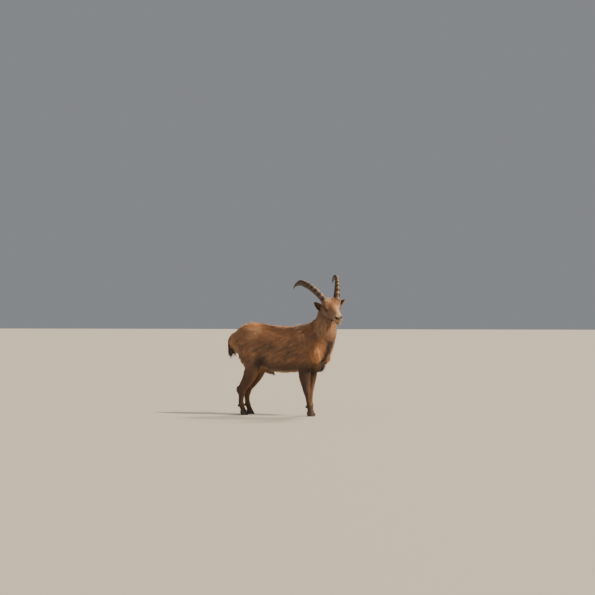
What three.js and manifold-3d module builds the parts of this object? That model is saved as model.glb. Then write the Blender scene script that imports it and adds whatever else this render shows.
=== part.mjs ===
// Alpine ibex, a young male standing with the head turned to its right.
// Millimetres, +X towards the chest, +Y to the animal's left, +Z up, feet on z = 0.

import * as THREE from "three";
import { mergeVertices } from "three/addons/utils/BufferGeometryUtils.js";
import Module from "manifold-3d";

const wasm = await Module();
wasm.setup();

// Driving dimensions
const GAP = 0.3; // between touching pieces
const LEG_SPREAD = 86;
const CHEST_YAW = -12; // the front of the chest is turned after the head // a foot's distance from the middle plane
const HEAD_AT = new THREE.Vector3(530, -73, 1016); // forehead, at the front of the horn bases
const HEAD_YAW = -51; // degrees, to the right
const HEAD_PITCH = 27; // nose line below the horizontal
const HEAD_ROLL = 8.5; // left side higher
const HEAD_SCALE = 1.12;
const EYE_RADIUS = 16;
const EYE_DEPTH = 13.5; // its centre below the skin of the orbit
const LID_THICKNESS = 3.4;
const EYE_OPENING = { long: 15, high: 9.5 }; // half sizes between the lids
const MOUTH = { corner: 128, height: -93, gap: 2.6, deep: 6 }; // in the head's frame
const CORONET_HEIGHT = 38; // top of the hooves, in their middle
const CORONET_SLOPE = 0.25; // rise of that edge towards the toe
const HORN_WIDTHS = { front: 36, side: 30 }; // half sizes at the base
const HORN_KNOBS = { count: 10, first: 0.1, last: 0.8, height: 0.15 }; // ridges across the front
const TAIL_LOCKS = 5;

// Materials
const coat = new THREE.MeshStandardMaterial({ color: 0x8a5d3f, roughness: 0.9 });
const darkCoat = new THREE.MeshStandardMaterial({ color: 0x3b2a20, roughness: 0.9 });
const horn = new THREE.MeshStandardMaterial({ color: 0x6b5440, roughness: 0.6 });
const hoof = new THREE.MeshStandardMaterial({ color: 0x2a2420, roughness: 0.5 });
const eye = new THREE.MeshStandardMaterial({ color: 0x3a2410, roughness: 0.15 });

const vec = (x, y, z) => new THREE.Vector3(x, y, z);

// The head's frame: x along the nose line, y to its left, z out of the forehead
const headTurn = new THREE.Matrix4()
  .makeRotationZ(THREE.MathUtils.degToRad(HEAD_YAW))
  .multiply(new THREE.Matrix4().makeRotationX(THREE.MathUtils.degToRad(HEAD_ROLL)))
  .multiply(new THREE.Matrix4().makeRotationY(THREE.MathUtils.degToRad(HEAD_PITCH)))
  .setPosition(HEAD_AT);
const onChest = (x, y, z) =>
  vec(x - 250, y, z).applyAxisAngle(vec(0, 0, 1), degrees(CHEST_YAW)).add(vec(250, 0, 0));
const onHead = (x, y, z) => vec(x, y, z).multiplyScalar(HEAD_SCALE).applyMatrix4(headTurn);
const headAxis = (x, y, z) => vec(x, y, z).transformDirection(headTurn);

// Rounded distance to an ellipse or ellipsoid with the given radii
function roundDistance(u, v, w, ru, rv, rw) {
  const k0 = Math.hypot(u / ru, v / rv, w / rw);
  if (k0 < 1e-6) return -Math.min(ru, rv, rw);
  return (k0 * (k0 - 1)) / Math.hypot(u / ru ** 2, v / rv ** 2, w / rw ** 2);
}

// A limb: a smooth tube through stations, each with a centre, a half width and a half depth.
// egg widens the section towards its top, or towards its bottom where it is negative.
const STEPS_PER_SPAN = 4;
function limb(stations, sideways, blend) {
  const centres = new THREE.CatmullRomCurve3(stations.map((s) => s.at), false, "catmullrom", 0.5);
  const sizes = new THREE.CatmullRomCurve3(
    stations.map((s) => vec(s.wide, s.deep, 100 * (s.egg ?? 0))),
    false,
    "catmullrom",
    0.5,
  );
  const steps = (stations.length - 1) * STEPS_PER_SPAN;
  const spans = [];
  for (let i = 0; i < steps; i++) {
    const a = centres.getPoint(i / steps);
    const b = centres.getPoint((i + 1) / steps);
    const along = b.clone().sub(a);
    const length = along.length();
    along.divideScalar(length);
    const side = sideways.clone().addScaledVector(along, -sideways.dot(along)).normalize();
    const up = along.clone().cross(side);
    const sizeA = sizes.getPoint(i / steps);
    const sizeB = sizes.getPoint((i + 1) / steps);
    spans.push({ a, along, length, side, up, sizeA, sizeB });
  }
  const reach = Math.max(...stations.map((s) => Math.max(s.wide, s.deep)));
  const box = new THREE.Box3().setFromPoints(stations.map((s) => s.at)).expandByScalar(reach);
  const distance = (p) => {
    let best = 1e9;
    for (const s of spans) {
      const dx = p.x - s.a.x;
      const dy = p.y - s.a.y;
      const dz = p.z - s.a.z;
      const t = dx * s.along.x + dy * s.along.y + dz * s.along.z;
      const on = Math.min(Math.max(t, 0), s.length);
      const share = on / s.length;
      const u = dx * s.side.x + dy * s.side.y + dz * s.side.z;
      const v = dx * s.up.x + dy * s.up.y + dz * s.up.z;
      const deep = s.sizeA.y + (s.sizeB.y - s.sizeA.y) * share;
      const egg = (s.sizeA.z + (s.sizeB.z - s.sizeA.z) * share) / 100;
      const lean = 1 + egg * Math.min(Math.max(v / deep, -1), 1);
      const wide = (s.sizeA.x + (s.sizeB.x - s.sizeA.x) * share) * lean;
      best = Math.min(best, roundDistance(u, v, t - on, wide, deep, Math.min(wide, deep)));
    }
    return best;
  };
  return { box, blend, distance };
}

// A muscle: an ellipsoid, turned by a matrix
function muscle(at, size, turn, blend) {
  const back = turn.clone().transpose();
  const reach = Math.max(size.x, size.y, size.z);
  const box = new THREE.Box3(at.clone().subScalar(reach), at.clone().addScalar(reach));
  const q = vec(0, 0, 0);
  const distance = (p) => {
    q.copy(p).sub(at).applyMatrix3(back);
    return roundDistance(q.x, q.y, q.z, size.x, size.y, size.z);
  };
  return { box, blend, distance };
}

const degrees = THREE.MathUtils.degToRad;
function turned(yaw = 0, pitch = 0, roll = 0) {
  const m = new THREE.Matrix4()
    .makeRotationZ(degrees(yaw))
    .multiply(new THREE.Matrix4().makeRotationX(degrees(roll)))
    .multiply(new THREE.Matrix4().makeRotationY(degrees(pitch)));
  return new THREE.Matrix3().setFromMatrix4(m);
}
const headMatrix = new THREE.Matrix3().setFromMatrix4(headTurn);

const station = (x, y, z, wide, deep, egg) => ({ at: vec(x, y, z), wide, deep, egg });

// Trunk: x, y, z of the centre, half width, half depth, egg
const trunk = limb(
  [
    station(-440, 0, 650, 60, 62, 0.1),
    station(-385, 0, 650, 100, 108, 0.15),
    station(-290, 0, 640, 124, 164, 0.15),
    station(-160, 0, 618, 130, 194, 0.05),
    station(0, 0, 588, 148, 210, -0.05),
    station(120, 0, 586, 150, 206, -0.05),
    station(240, 0, 590, 134, 198, 0.1),
    station(335, 0, 580, 116, 172, 0.15),
    station(354, -22, 548, 90, 122, 0.1),
  ],
  vec(0, 1, 0),
  0,
);

const neckSide = vec(Math.sin(degrees(16)), Math.cos(degrees(16)), 0);
const neck = limb(
  [
    station(300, 0, 635, 108, 150, 0),
    station(394, 0, 710, 97, 154, 0),
    station(424, 2, 785, 82, 134, 0),
    station(429, 14, 845, 71, 96, 0),
    station(433, 28, 900, 64, 74, 0),
    station(440, 36, 950, 58, 64, 0),
  ],
  neckSide,
  70,
);

// Muscles of the trunk that each side has
const sides = [-1, 1];
const trunkMuscles = sides.flatMap((s) => [
  muscle(vec(280, s * 98, 590), vec(95, 54, 165), turned(s * -6, -20, 0), 45), // shoulder
  muscle(onChest(412, s * 72, 542), vec(52, 46, 78), turned(CHEST_YAW, -8, 0), 20), // breast
  muscle(vec(-262, s * 82, 565), vec(100, 60, 160), turned(0, -12, 0), 45), // thigh
  muscle(vec(-262, s * 62, 751), vec(72, 42, 48), turned(0, 0, 0), 50), // hip
]);
const withers = muscle(vec(215, 0, 745), vec(95, 42, 52), turned(0, 0, 0), 50);
const rump = muscle(vec(-256, 0, 742), vec(130, 76, 72), turned(0, 0, 0), 60);
const brisket = muscle(onChest(390, 0, 440), vec(68, 46, 48), turned(0, -24, 0), 40);

// Legs: the stance differs a little from leg to leg
const STANCE = {
  front_right: { side: -1, x: 283, knee: 18, foot: 50 },
  front_left: { side: 1, x: 270, knee: -14, foot: -6 },
  hind_right: { side: -1, x: -345, foot: 0 },
  hind_left: { side: 1, x: -372, foot: 6 },
};

function frontLeg({ side, x, foot, knee }) {
  const y = side * LEG_SPREAD;
  const lower = (share) => x + knee + (foot - knee) * share;
  return limb(
    [
      station(x - 6, y * 1.16, 530, 44, 70),
      station(x - 4, y * 1.1, 430, 44, 62),
      station(x - 4 + knee * 0.2, y * 1.04, 345, 37, 54),
      station(x - 2 + knee * 0.6, y, 275, 30, 42),
      station(x + knee, y, 222, 29, 34),
      station(lower(0.2), y, 188, 22, 27),
      station(lower(0.5), y, 130, 18.5, 22),
      station(lower(0.74), y, 92, 23, 27),
      station(lower(0.9), y, 62, 22, 24),
      station(x + foot, y, 30, 26, 30),
    ],
    vec(0, 1, 0),
    30,
  );
}

function hindLeg({ side, x, foot }) {
  const y = side * LEG_SPREAD;
  return limb(
    [
      station(x + 78, y * 0.95, 560, 58, 100),
      station(x + 118, y * 1.05, 455, 54, 82),
      station(x + 98, y * 1.08, 370, 42, 68),
      station(x + 62, y * 1.04, 305, 33, 54),
      station(x + 22, y, 250, 27, 44),
      station(x + 8, y, 210, 25, 38),
      station(x + 3, y, 165, 20, 28),
      station(x + foot, y, 122, 19, 24),
      station(x + foot + 4, y, 90, 23, 27),
      station(x + foot + 16, y, 60, 22, 24),
      station(x + foot + 26, y, 30, 26, 30),
    ],
    vec(0, 1, 0),
    30,
  );
}

function hock({ side, x }) {
  return muscle(vec(x - 30, side * LEG_SPREAD, 228), vec(16, 14, 28), turned(0, 4, 0), 24);
}

const legLimbs = Object.entries(STANCE).map(([name, stance]) =>
  name.startsWith("front") ? frontLeg(stance) : hindLeg(stance),
);
const hocks = [hock(STANCE.hind_right), hock(STANCE.hind_left)];

// Head, in its own frame
const headStation = (x, z, wide, deep, egg) => ({
  at: onHead(x, 0, z),
  wide: HEAD_SCALE * wide,
  deep: HEAD_SCALE * deep,
  egg,
});
const headMuscle = (x, y, z, size, turn, blend) =>
  muscle(onHead(x, y, z), size.multiplyScalar(HEAD_SCALE), headMatrix.clone().multiply(turn), blend);

const skull = limb(
  [
    headStation(-82, -74, 42, 34, 0),
    headStation(-45, -62, 57, 52, 0.05),
    headStation(15, -58, 60, 56, 0.05),
    headStation(75, -60, 45, 50, -0.05),
    headStation(125, -60, 33, 40, -0.1),
    headStation(165, -62, 31, 36, -0.05),
    headStation(178, -63, 28, 31, 0),
  ],
  headAxis(0, 1, 0),
  40,
);
const jaw = limb(
  [
    headStation(-30, -112, 40, 34, 0),
    headStation(30, -108, 38, 34, 0),
    headStation(95, -100, 27, 24, 0),
    headStation(150, -101, 22, 19, 0),
    headStation(176, -105, 19, 17, 0),
  ],
  headAxis(0, 1, 0),
  16,
);
const headMuscles = sides.flatMap((s) => [
  headMuscle(2, s * 34, -98, vec(52, 22, 44), turned(s * -6, 12, 0), 24), // cheek
  headMuscle(34, s * 47, -42, vec(34, 20, 20), turned(s * -10, 8, 0), 14), // brow
  headMuscle(60, s * 42, -82, vec(42, 14, 13), turned(s * -14, -6, 0), 14), // cheekbone
  headMuscle(-52, s * 50, -90, vec(26, 24, 28), turned(0, 0, 0), 20), // root of the ear
  headMuscle(184, s * 17, -48, vec(15, 11, 13), turned(0, 0, 0), 9), // wing of the nostril
  headMuscle(176, s * 14, -78, vec(20, 17, 13), turned(0, 0, 0), 9), // upper lip
  headMuscle(-2, s * 40, -16, vec(44, 34, 26), turned(0, 12, 0), 16), // swelling below the horn
]);
const chin = headMuscle(172, 0, -113, vec(18, 18, 15), turned(0, 0, 0), 10);

// The whole body as one rounded field: negative inside, about a distance in millimetres outside
const flesh = [
  trunk,
  ...trunkMuscles,
  withers,
  rump,
  brisket,
  neck,
  ...legLimbs,
  ...hocks,
  skull,
  jaw,
  ...headMuscles,
  chin,
];
const NEAR = 60; // a form further than this from a point leaves the field there alone
function body(p) {
  let d = 1e3;
  for (const form of flesh) {
    if (form.box.distanceToPoint(p) > NEAR) continue;
    const e = form.distance(p);
    const k = form.blend;
    const h = k > 0 ? Math.max(k - Math.abs(d - e), 0) / k : 0;
    d = Math.min(d, e) - (h * h * k) / 4;
  }
  return d;
}

function gradient(field, p) {
  const h = 0.5;
  const q = vec(0, 0, 0);
  const slope = (axis) => {
    q.copy(p);
    q[axis] += h;
    const ahead = field(q);
    q[axis] -= 2 * h;
    return (ahead - field(q)) / (2 * h);
  };
  return vec(slope("x"), slope("y"), slope("z"));
}

// A grid square with only its opposite corners inside would pinch the surface: one of them is put outside
function parted(values, n, index) {
  for (let k = 0; k < n[2]; k++)
    for (let j = 0; j < n[1]; j++)
      for (let i = 0; i < n[0]; i++)
        for (const [a, b] of [[0, 1], [1, 2], [0, 2]]) {
          const at = (s, t) => {
            const c = [i, j, k];
            c[a] += s;
            c[b] += t;
            return c[a] < n[a] && c[b] < n[b] ? index(...c) : -1;
          };
          const square = [at(0, 0), at(1, 0), at(1, 1), at(0, 1)];
          if (square.includes(-1)) continue;
          const inside = square.map((c) => values[c] < 0);
          if (inside[0] === inside[2] && inside[1] === inside[3] && inside[0] !== inside[1])
            values[square[inside[0] ? 0 : 1]] = 0.01;
        }
}

// Surface nets: one vertex in each cell that the surface crosses, moved onto the surface
function polygonize(field, box, cell, turn = new THREE.Matrix4()) {
  const size = box.getSize(vec(0, 0, 0));
  const n = [size.x / cell.x, size.y / cell.y, size.z / cell.z].map((c) => Math.ceil(c) + 1);
  const step = vec(size.x / (n[0] - 1), size.y / (n[1] - 1), size.z / (n[2] - 1));
  const index = (i, j, k) => i + n[0] * (j + n[1] * k);
  const corner = (i, j, k) =>
    vec(box.min.x + i * step.x, box.min.y + j * step.y, box.min.z + k * step.z).applyMatrix4(turn);
  const values = new Float64Array(n[0] * n[1] * n[2]);
  for (let k = 0; k < n[2]; k++)
    for (let j = 0; j < n[1]; j++)
      for (let i = 0; i < n[0]; i++) {
        const edge = [i, j, k].some((c, a) => c === 0 || c === n[a] - 1);
        const v = field(corner(i, j, k));
        values[index(i, j, k)] = edge ? Math.max(v, 0.01) : v;
      }
  parted(values, n, index);
  const vertexOf = new Map();
  const points = [];
  const most = 0.6 * Math.min(step.x, step.y, step.z);
  for (let k = 0; k < n[2] - 1; k++)
    for (let j = 0; j < n[1] - 1; j++)
      for (let i = 0; i < n[0] - 1; i++) {
        const sum = vec(0, 0, 0);
        let crossings = 0;
        for (let c = 0; c < 8; c++) {
          const a = [i + (c & 1), j + ((c >> 1) & 1), k + (c >> 2)];
          for (let axis = 0; axis < 3; axis++) {
            if ((c >> axis) & 1) continue;
            const b = [...a];
            b[axis] += 1;
            const va = values[index(...a)];
            const vb = values[index(...b)];
            if (va < 0 === vb < 0) continue;
            sum.add(corner(...a).lerp(corner(...b), va / (va - vb)));
            crossings++;
          }
        }
        if (!crossings) continue;
        const start = sum.divideScalar(crossings);
        const p = start.clone();
        for (let pass = 0; pass < 3; pass++) {
          const g = gradient(field, p);
          p.addScaledVector(g, -field(p) / Math.max(g.lengthSq(), 0.05));
        }
        const move = p.clone().sub(start).clampLength(0, most);
        vertexOf.set(index(i, j, k), points.length);
        points.push(start.add(move));
      }
  const faces = [];
  const quad = (a, b, c, d) => {
    const short = points[a].distanceToSquared(points[c]) <= points[b].distanceToSquared(points[d]);
    faces.push(...(short ? [a, b, c, a, c, d] : [a, b, d, b, c, d]));
  };
  for (let k = 0; k < n[2] - 1; k++)
    for (let j = 0; j < n[1] - 1; j++)
      for (let i = 0; i < n[0] - 1; i++)
        for (let axis = 0; axis < 3; axis++) {
          const b = [i, j, k];
          if (b.some((c, a) => c === 0 && a !== axis)) continue;
          b[axis] += 1;
          const inside = values[index(i, j, k)] < 0;
          if (inside === values[index(...b)] < 0) continue;
          const o = [0, 1, 2].filter((c) => c !== axis);
          const around = [
            [0, 0],
            [1, 0],
            [1, 1],
            [0, 1],
          ].map(([s, t]) => {
            const c = [i, j, k];
            c[o[0]] -= s;
            c[o[1]] -= t;
            return vertexOf.get(index(...c));
          });
          const forward = (axis === 1) !== inside;
          quad(...(forward ? around : around.reverse()));
        }
  return { points, faces };
}

function geometryOf({ points, faces }) {
  const made = new THREE.BufferGeometry().setFromPoints(points);
  return made.setIndex(faces);
}

// The same surface, moved out by a distance
function grown({ points, faces }, field, by) {
  const moved = points.map((p) => p.clone().addScaledVector(gradient(field, p).normalize(), by));
  return { points: moved, faces };
}

// A geometry as a manifold-3d solid, and back
function solid(geometry) {
  const bare = new THREE.BufferGeometry();
  bare.setAttribute("position", geometry.getAttribute("position"));
  bare.setIndex(geometry.getIndex());
  const merged = mergeVertices(bare, 1e-3);
  const index = [];
  const all = merged.index.array;
  for (let i = 0; i < all.length; i += 3) {
    const [a, b, c] = [all[i], all[i + 1], all[i + 2]];
    if (a !== b && b !== c && c !== a) index.push(a, b, c);
  }
  return new wasm.Manifold(
    new wasm.Mesh({
      numProp: 3,
      vertProperties: new Float32Array(merged.attributes.position.array),
      triVerts: new Uint32Array(index),
    }),
  );
}

function largest(made) {
  return made.decompose().reduce((a, b) => (a.volume() > b.volume() ? a : b));
}

function geometryFrom(made) {
  const m = made.getMesh();
  const count = m.vertProperties.length / m.numProp;
  const positions = new Float32Array(count * 3);
  for (let i = 0; i < count; i++)
    for (let a = 0; a < 3; a++) positions[3 * i + a] = m.vertProperties[i * m.numProp + a];
  const geometry = new THREE.BufferGeometry();
  geometry.setAttribute("position", new THREE.BufferAttribute(positions, 3));
  return geometry.setIndex(new THREE.BufferAttribute(new Uint32Array(m.triVerts), 1));
}

// Its vertices are merged once before its largest surface is kept, because that can close off a hollow
function meshOf(name, made, material) {
  const merged = solid(geometryFrom(largest(made)));
  const mesh = new THREE.Mesh(geometryFrom(largest(merged)), material);
  mesh.name = name;
  return mesh;
}

// A closed body through rings of points, each ring with as many points
function loft(rings) {
  const points = rings.flat();
  const n = rings[0].length;
  const faces = [];
  for (let r = 0; r + 1 < rings.length; r++)
    for (let i = 0; i < n; i++) {
      const [a, b] = [r * n + i, r * n + ((i + 1) % n)];
      faces.push(a, b, b + n, a, b + n, a + n);
    }
  const last = points.length - n;
  for (let i = 1; i + 1 < n; i++) {
    faces.push(0, i + 1, i);
    faces.push(last, last + i, last + i + 1);
  }
  return { points, faces };
}

// A prism over an outline drawn in one plane of a frame, from one depth to another
function prism(outline, from, to, frame) {
  const shape = new THREE.Shape(outline.map(([a, b]) => new THREE.Vector2(a, b)));
  const made = new THREE.ExtrudeGeometry(shape, { depth: to - from, bevelEnabled: false });
  return made.translate(0, 0, from).applyMatrix4(frame);
}
const sidePlane = new THREE.Matrix4().makeBasis(vec(1, 0, 0), vec(0, 0, 1), vec(0, -1, 0));
const frontPlane = new THREE.Matrix4().makeBasis(vec(0, 1, 0), vec(0, 0, 1), vec(1, 0, 0));

function ellipsoid(at, size, turn, around = 10, high = 6) {
  const made = new THREE.SphereGeometry(1, around, high).scale(size.x, size.y, size.z);
  return solid(made.applyMatrix4(new THREE.Matrix4().setFromMatrix3(turn).setPosition(at)));
}

// Blocks that part the body into its nodes
const WIDE = 400; // beyond the body on every side
function legBlock(outlineSide, outlineFront, side, lift) {
  const long = solid(prism(outlineSide, -WIDE, WIDE, sidePlane));
  const mirrored = outlineFront.map(([y, z]) => [side * y, z]);
  if (side < 0) mirrored.reverse();
  const across = solid(prism(mirrored, -2 * WIDE, 2 * WIDE, frontPlane));
  return long.intersect(across).translate([0, 0, lift]);
}
const FRONT_LEG_SIDE = [[150, -30], [430, -30], [430, 330], [372, 500], [196, 520], [165, 420]];
const FRONT_LEG_FRONT = [[10, -30], [WIDE, -30], [WIDE, 620], [172, 520], [50, 385], [10, 365]];
const HIND_LEG_SIDE = [[-480, -30], [-90, -30], [-90, 400], [-150, 500], [-330, 680], [-480, 590]];
const HIND_LEG_FRONT = [[10, -30], [WIDE, -30], [WIDE, 840], [150, 590], [54, 440], [10, 414]];
const HEAD_BLOCK = [[-120, -30], [-64, -150], [-38, -172], [60, -178], [WIDE, -230], [WIDE, WIDE], [-150, WIDE]];
const NECK_BLOCK = [[205, 900], [290, 790], [450, 575], [700, 520], [700, 1300], [205, 1300]];

// Body shells at the fineness that each region needs
const box = (x0, y0, z0, x1, y1, z1) => new THREE.Box3(vec(x0, y0, z0), vec(x1, y1, z1));
const trunkNet = polygonize(body, box(-520, -230, 320, 560, 230, 900), vec(36, 30, 35));
const trunkSolid = solid(geometryOf(trunkNet));
const neckNet = polygonize(body, box(190, -190, 520, 640, 190, 1100), vec(28, 24, 30));
const neckSolid = solid(geometryOf(neckNet));
const HEAD_BOX = box(-140, -105, -215, 230, 105, 40);
const headNet = polygonize(body, HEAD_BOX, vec(13, 12, 12.5), headTurn);
const headSolid = solid(geometryOf(headNet));

const group = new THREE.Group();

// Legs
function legOf(name, stance) {
  const front = name.startsWith("front");
  const outlines = front ? [FRONT_LEG_SIDE, FRONT_LEG_FRONT] : [HIND_LEG_SIDE, HIND_LEG_FRONT];
  const y = stance.side * LEG_SPREAD;
  const inner = Math.min(y * 0.1, y * 2);
  const outer = Math.max(y * 0.1, y * 2);
  const region = front
    ? box(150, inner, 0, 430, outer, 560)
    : box(-480, inner, 0, -70, outer, 700);
  const net = polygonize(body, region, vec(front ? 16 : 21, front ? 13 : 15, 30));
  const footAt = stance.x + stance.foot + (front ? 0 : 26);
  const pastern = front ? stance.x + 0.22 * stance.knee + 0.78 * stance.foot : footAt - 20;
  const coronet = [-CORONET_SLOPE, 0, 1];
  const level = (CORONET_HEIGHT - CORONET_SLOPE * footAt) / Math.hypot(CORONET_SLOPE, 1);
  return {
    footAt,
    coronet,
    level,
    mesh: dewclaws(pastern, stance.side)
      .reduce((made, claw) => made.add(claw), solid(geometryOf(net)))
      .trimByPlane(coronet, level)
      .intersect(legBlock(...outlines, stance.side, 0)),
    block: legBlock(...outlines, stance.side, GAP),
  };
}
// The two small claws behind a pastern
function dewclaws(pastern, side) {
  return [-1, 1].map((s) =>
    ellipsoid(vec(pastern - 24, side * LEG_SPREAD + s * 13, 84), vec(9, 8, 14), turned(0, 28, 0), 6, 4),
  );
}
const legs = Object.entries(STANCE).map(([name, stance]) => ({ name, ...stance, ...legOf(name, stance) }));
for (const leg of legs) group.add(meshOf("leg_" + leg.name, leg.mesh, coat));

// Hooves: two claws to a foot, each a loft from its flat sole up to the coronet
const CLAW_SOLE = { long: 31, wide: 11.5 };
function claw(side) {
  const rings = [0, 9, 24, 60].map((z) =>
    Array.from({ length: 10 }, (_, i) => {
      const a = (i / 10) * 2 * Math.PI;
      const toe = Math.max(Math.cos(a), 0);
      const long = CLAW_SOLE.long * (1 - 0.12 * (z / 24)) + (i === 0 ? 3 : 0);
      const wide = CLAW_SOLE.wide * (1 - 0.45 * toe ** 2);
      const inner = -side * Math.sin(a) > 0 ? 0.82 : 1;
      return vec(6 - 0.42 * z + long * Math.cos(a), wide * inner * Math.sin(a), z);
    }),
  );
  return loft(rings);
}
for (const leg of legs)
  for (const [side, which] of [[-1, "outer"], [1, "inner"]]) {
    const outward = leg.side * -side;
    const made = solid(geometryOf(claw(outward)))
      .translate([leg.footAt + 4, leg.side * LEG_SPREAD + outward * 13, 0])
      .trimByPlane(leg.coronet.map((c) => -c), GAP - leg.level);
    group.add(meshOf("hoof_" + leg.name + "_" + which, made, hoof));
  }

// Head, neck and trunk
const headFrame = headTurn.clone().multiply(sidePlane);
const headBlock = solid(prism(HEAD_BLOCK, -WIDE, WIDE, headFrame));
const neckBlock = solid(prism(NECK_BLOCK, -WIDE, WIDE, sidePlane));
const back = headAxis(-1, 0, -1).multiplyScalar(GAP);
const headBlockGrown = headBlock.translate([back.x, back.y, back.z]);
group.add(meshOf("neck", neckSolid.intersect(neckBlock).subtract(headBlockGrown), coat));
const torso = legs.reduce((made, leg) => made.subtract(leg.block), trunkSolid);
const sheath = ellipsoid(vec(-102, 0, 389), vec(60, 17, 21), turned(0, 15, 0), 9, 5);
const purse = ellipsoid(vec(-312, 0, 468), vec(25, 22, 40), turned(0, -8, 0), 9, 5);
const trunkAll = torso.add(sheath).add(purse);
group.add(meshOf("torso", trunkAll.subtract(neckBlock.translate([-GAP, 0, -GAP])), coat));

// A point at a depth below the skin, on the way out from a point inside
function below(from, direction, depth) {
  const p = from.clone();
  for (let pass = 0; pass < 40; pass++) p.addScaledVector(direction, -0.7 * body(p));
  return p.addScaledVector(direction, -depth);
}

// Eyes: a ball in a socket, under lids with an almond opening
const grownHead = solid(geometryOf(grown(headNet, body, GAP)));
let head = headSolid.intersect(headBlock);
for (const s of sides) {
  const out = headAxis(0.3, s * 0.94, 0.14);
  const long = headAxis(1, 0, -0.16);
  long.addScaledVector(out, -long.dot(out)).normalize();
  const at = below(onHead(34, s * 40, -50), out, EYE_DEPTH);
  const frame = new THREE.Matrix4().makeBasis(long, out.clone().cross(long), out).setPosition(at);
  const ball = (radius) => solid(new THREE.SphereGeometry(radius, 14, 9).applyMatrix4(frame));
  const almond = Array.from({ length: 12 }, (_, i) => {
    const a = (i / 12) * 2 * Math.PI;
    const high = EYE_OPENING.high * Math.sin(a) * (0.8 + 0.2 * Math.abs(Math.sin(a)));
    return [EYE_OPENING.long * Math.cos(a), high];
  });
  head = head
    .add(ball(EYE_RADIUS + LID_THICKNESS))
    .subtract(solid(prism(almond, 3, 60, frame)))
    .subtract(ball(EYE_RADIUS + GAP));
  group.add(meshOf(s < 0 ? "eye_right" : "eye_left", ball(EYE_RADIUS), eye));
}

// Nostrils: a round opening with a slit that runs back and up from it
for (const s of sides)
  for (const [x, y, z, long, high] of [[196, 15, -54, 10, 7], [191, 21, -47, 11, 4.5]]) {
    const turn = headMatrix.clone().multiply(turned(s * 38, -16, 0));
    head = head.subtract(ellipsoid(onHead(x, s * y, z), vec(long, 6.5, high), turn, 8, 5));
  }

// Mouth: a groove between the lips, round the muzzle from corner to corner
const lips = new THREE.BoxGeometry(160, 160, MOUTH.gap);
lips.translate(80 + MOUTH.corner * HEAD_SCALE, 0, 0);
lips.rotateY(degrees(4)).translate(0, 0, (MOUTH.height - 8) * HEAD_SCALE + 14);
const insideLips = solid(geometryOf(grown(headNet, body, -MOUTH.deep)));
head = head.subtract(solid(lips.applyMatrix4(headTurn)).subtract(insideLips));
group.add(meshOf("head", head, coat));

// The horns' and ears' frame: x forward, y left, z up, turned and rolled with the head
const crownTurn = new THREE.Matrix4()
  .makeRotationZ(degrees(HEAD_YAW + 4))
  .multiply(new THREE.Matrix4().makeRotationX(degrees(HEAD_ROLL)));
const crown = (from, x, y, z) => vec(x, y, z).applyMatrix4(crownTurn).add(from);

// Horns
function hornOf(s) {
  const root = onHead(-22, s * 48, -6);
  const path = new THREE.CatmullRomCurve3(
    [
      [14, -16, -62],
      [0, 0, 0],
      [-55, 40, 80],
      [-123, 74, 137],
      [-188, 100, 170],
      [-248, 111, 182],
      [-330, 121, 174],
      [-380, 128, 157],
      [-413, 132, 134],
    ].map(([x, y, z]) => crown(root, x, s * y, z)),
  );
  const outward = vec(-0.3, s, 0.1).normalize().applyMatrix4(crownTurn);
  const { count, first, last, height } = HORN_KNOBS;
  const stops = [[0, 0], [0.05, 0]];
  for (let i = 0; i < count; i++) {
    const at = (n) => first + (last - first) * (1 - (1 - n / count) ** 1.25);
    const pitch = at(i + 1) - at(i);
    const size = 1 - 0.4 * (i / count);
    stops.push([at(i), 0], [at(i) + 0.3 * pitch, size], [at(i) + 0.66 * pitch, 0.8 * size]);
  }
  stops.push([last, 0], [0.86, 0], [0.92, 0], [0.97, 0], [1, 0]);
  const around = 10;
  const rings = stops.map(([share, knob]) => {
    const at = path.getPointAt(share);
    const along = path.getTangentAt(share);
    const side = outward.clone().addScaledVector(along, -outward.dot(along)).normalize();
    const front = side.clone().cross(along).multiplyScalar(s);
    const deep = HORN_WIDTHS.front * Math.max(1 - share ** 2.6, 0.03) ** 0.75;
    const wide = HORN_WIDTHS.side * Math.max(1 - share, 0.012) ** 0.6;
    return Array.from({ length: around }, (_, j) => {
      const a = ((j + 0.5) / around) * 2 * Math.PI * s;
      const ahead = Math.max(Math.cos(a), 0);
      const u = deep * Math.cos(a) * (1 + height * knob * ahead);
      const v = wide * Math.sin(a) * (1 + 0.1 * Math.cos(a)) * (1 + 0.4 * height * knob * ahead);
      return at.clone().addScaledVector(front, u).addScaledVector(side, v);
    });
  });
  return loft(rings);
}
for (const s of sides) {
  const made = solid(geometryOf(hornOf(s)));
  group.add(meshOf(s < 0 ? "horn_right" : "horn_left", made.subtract(grownHead), horn));
}

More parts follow.
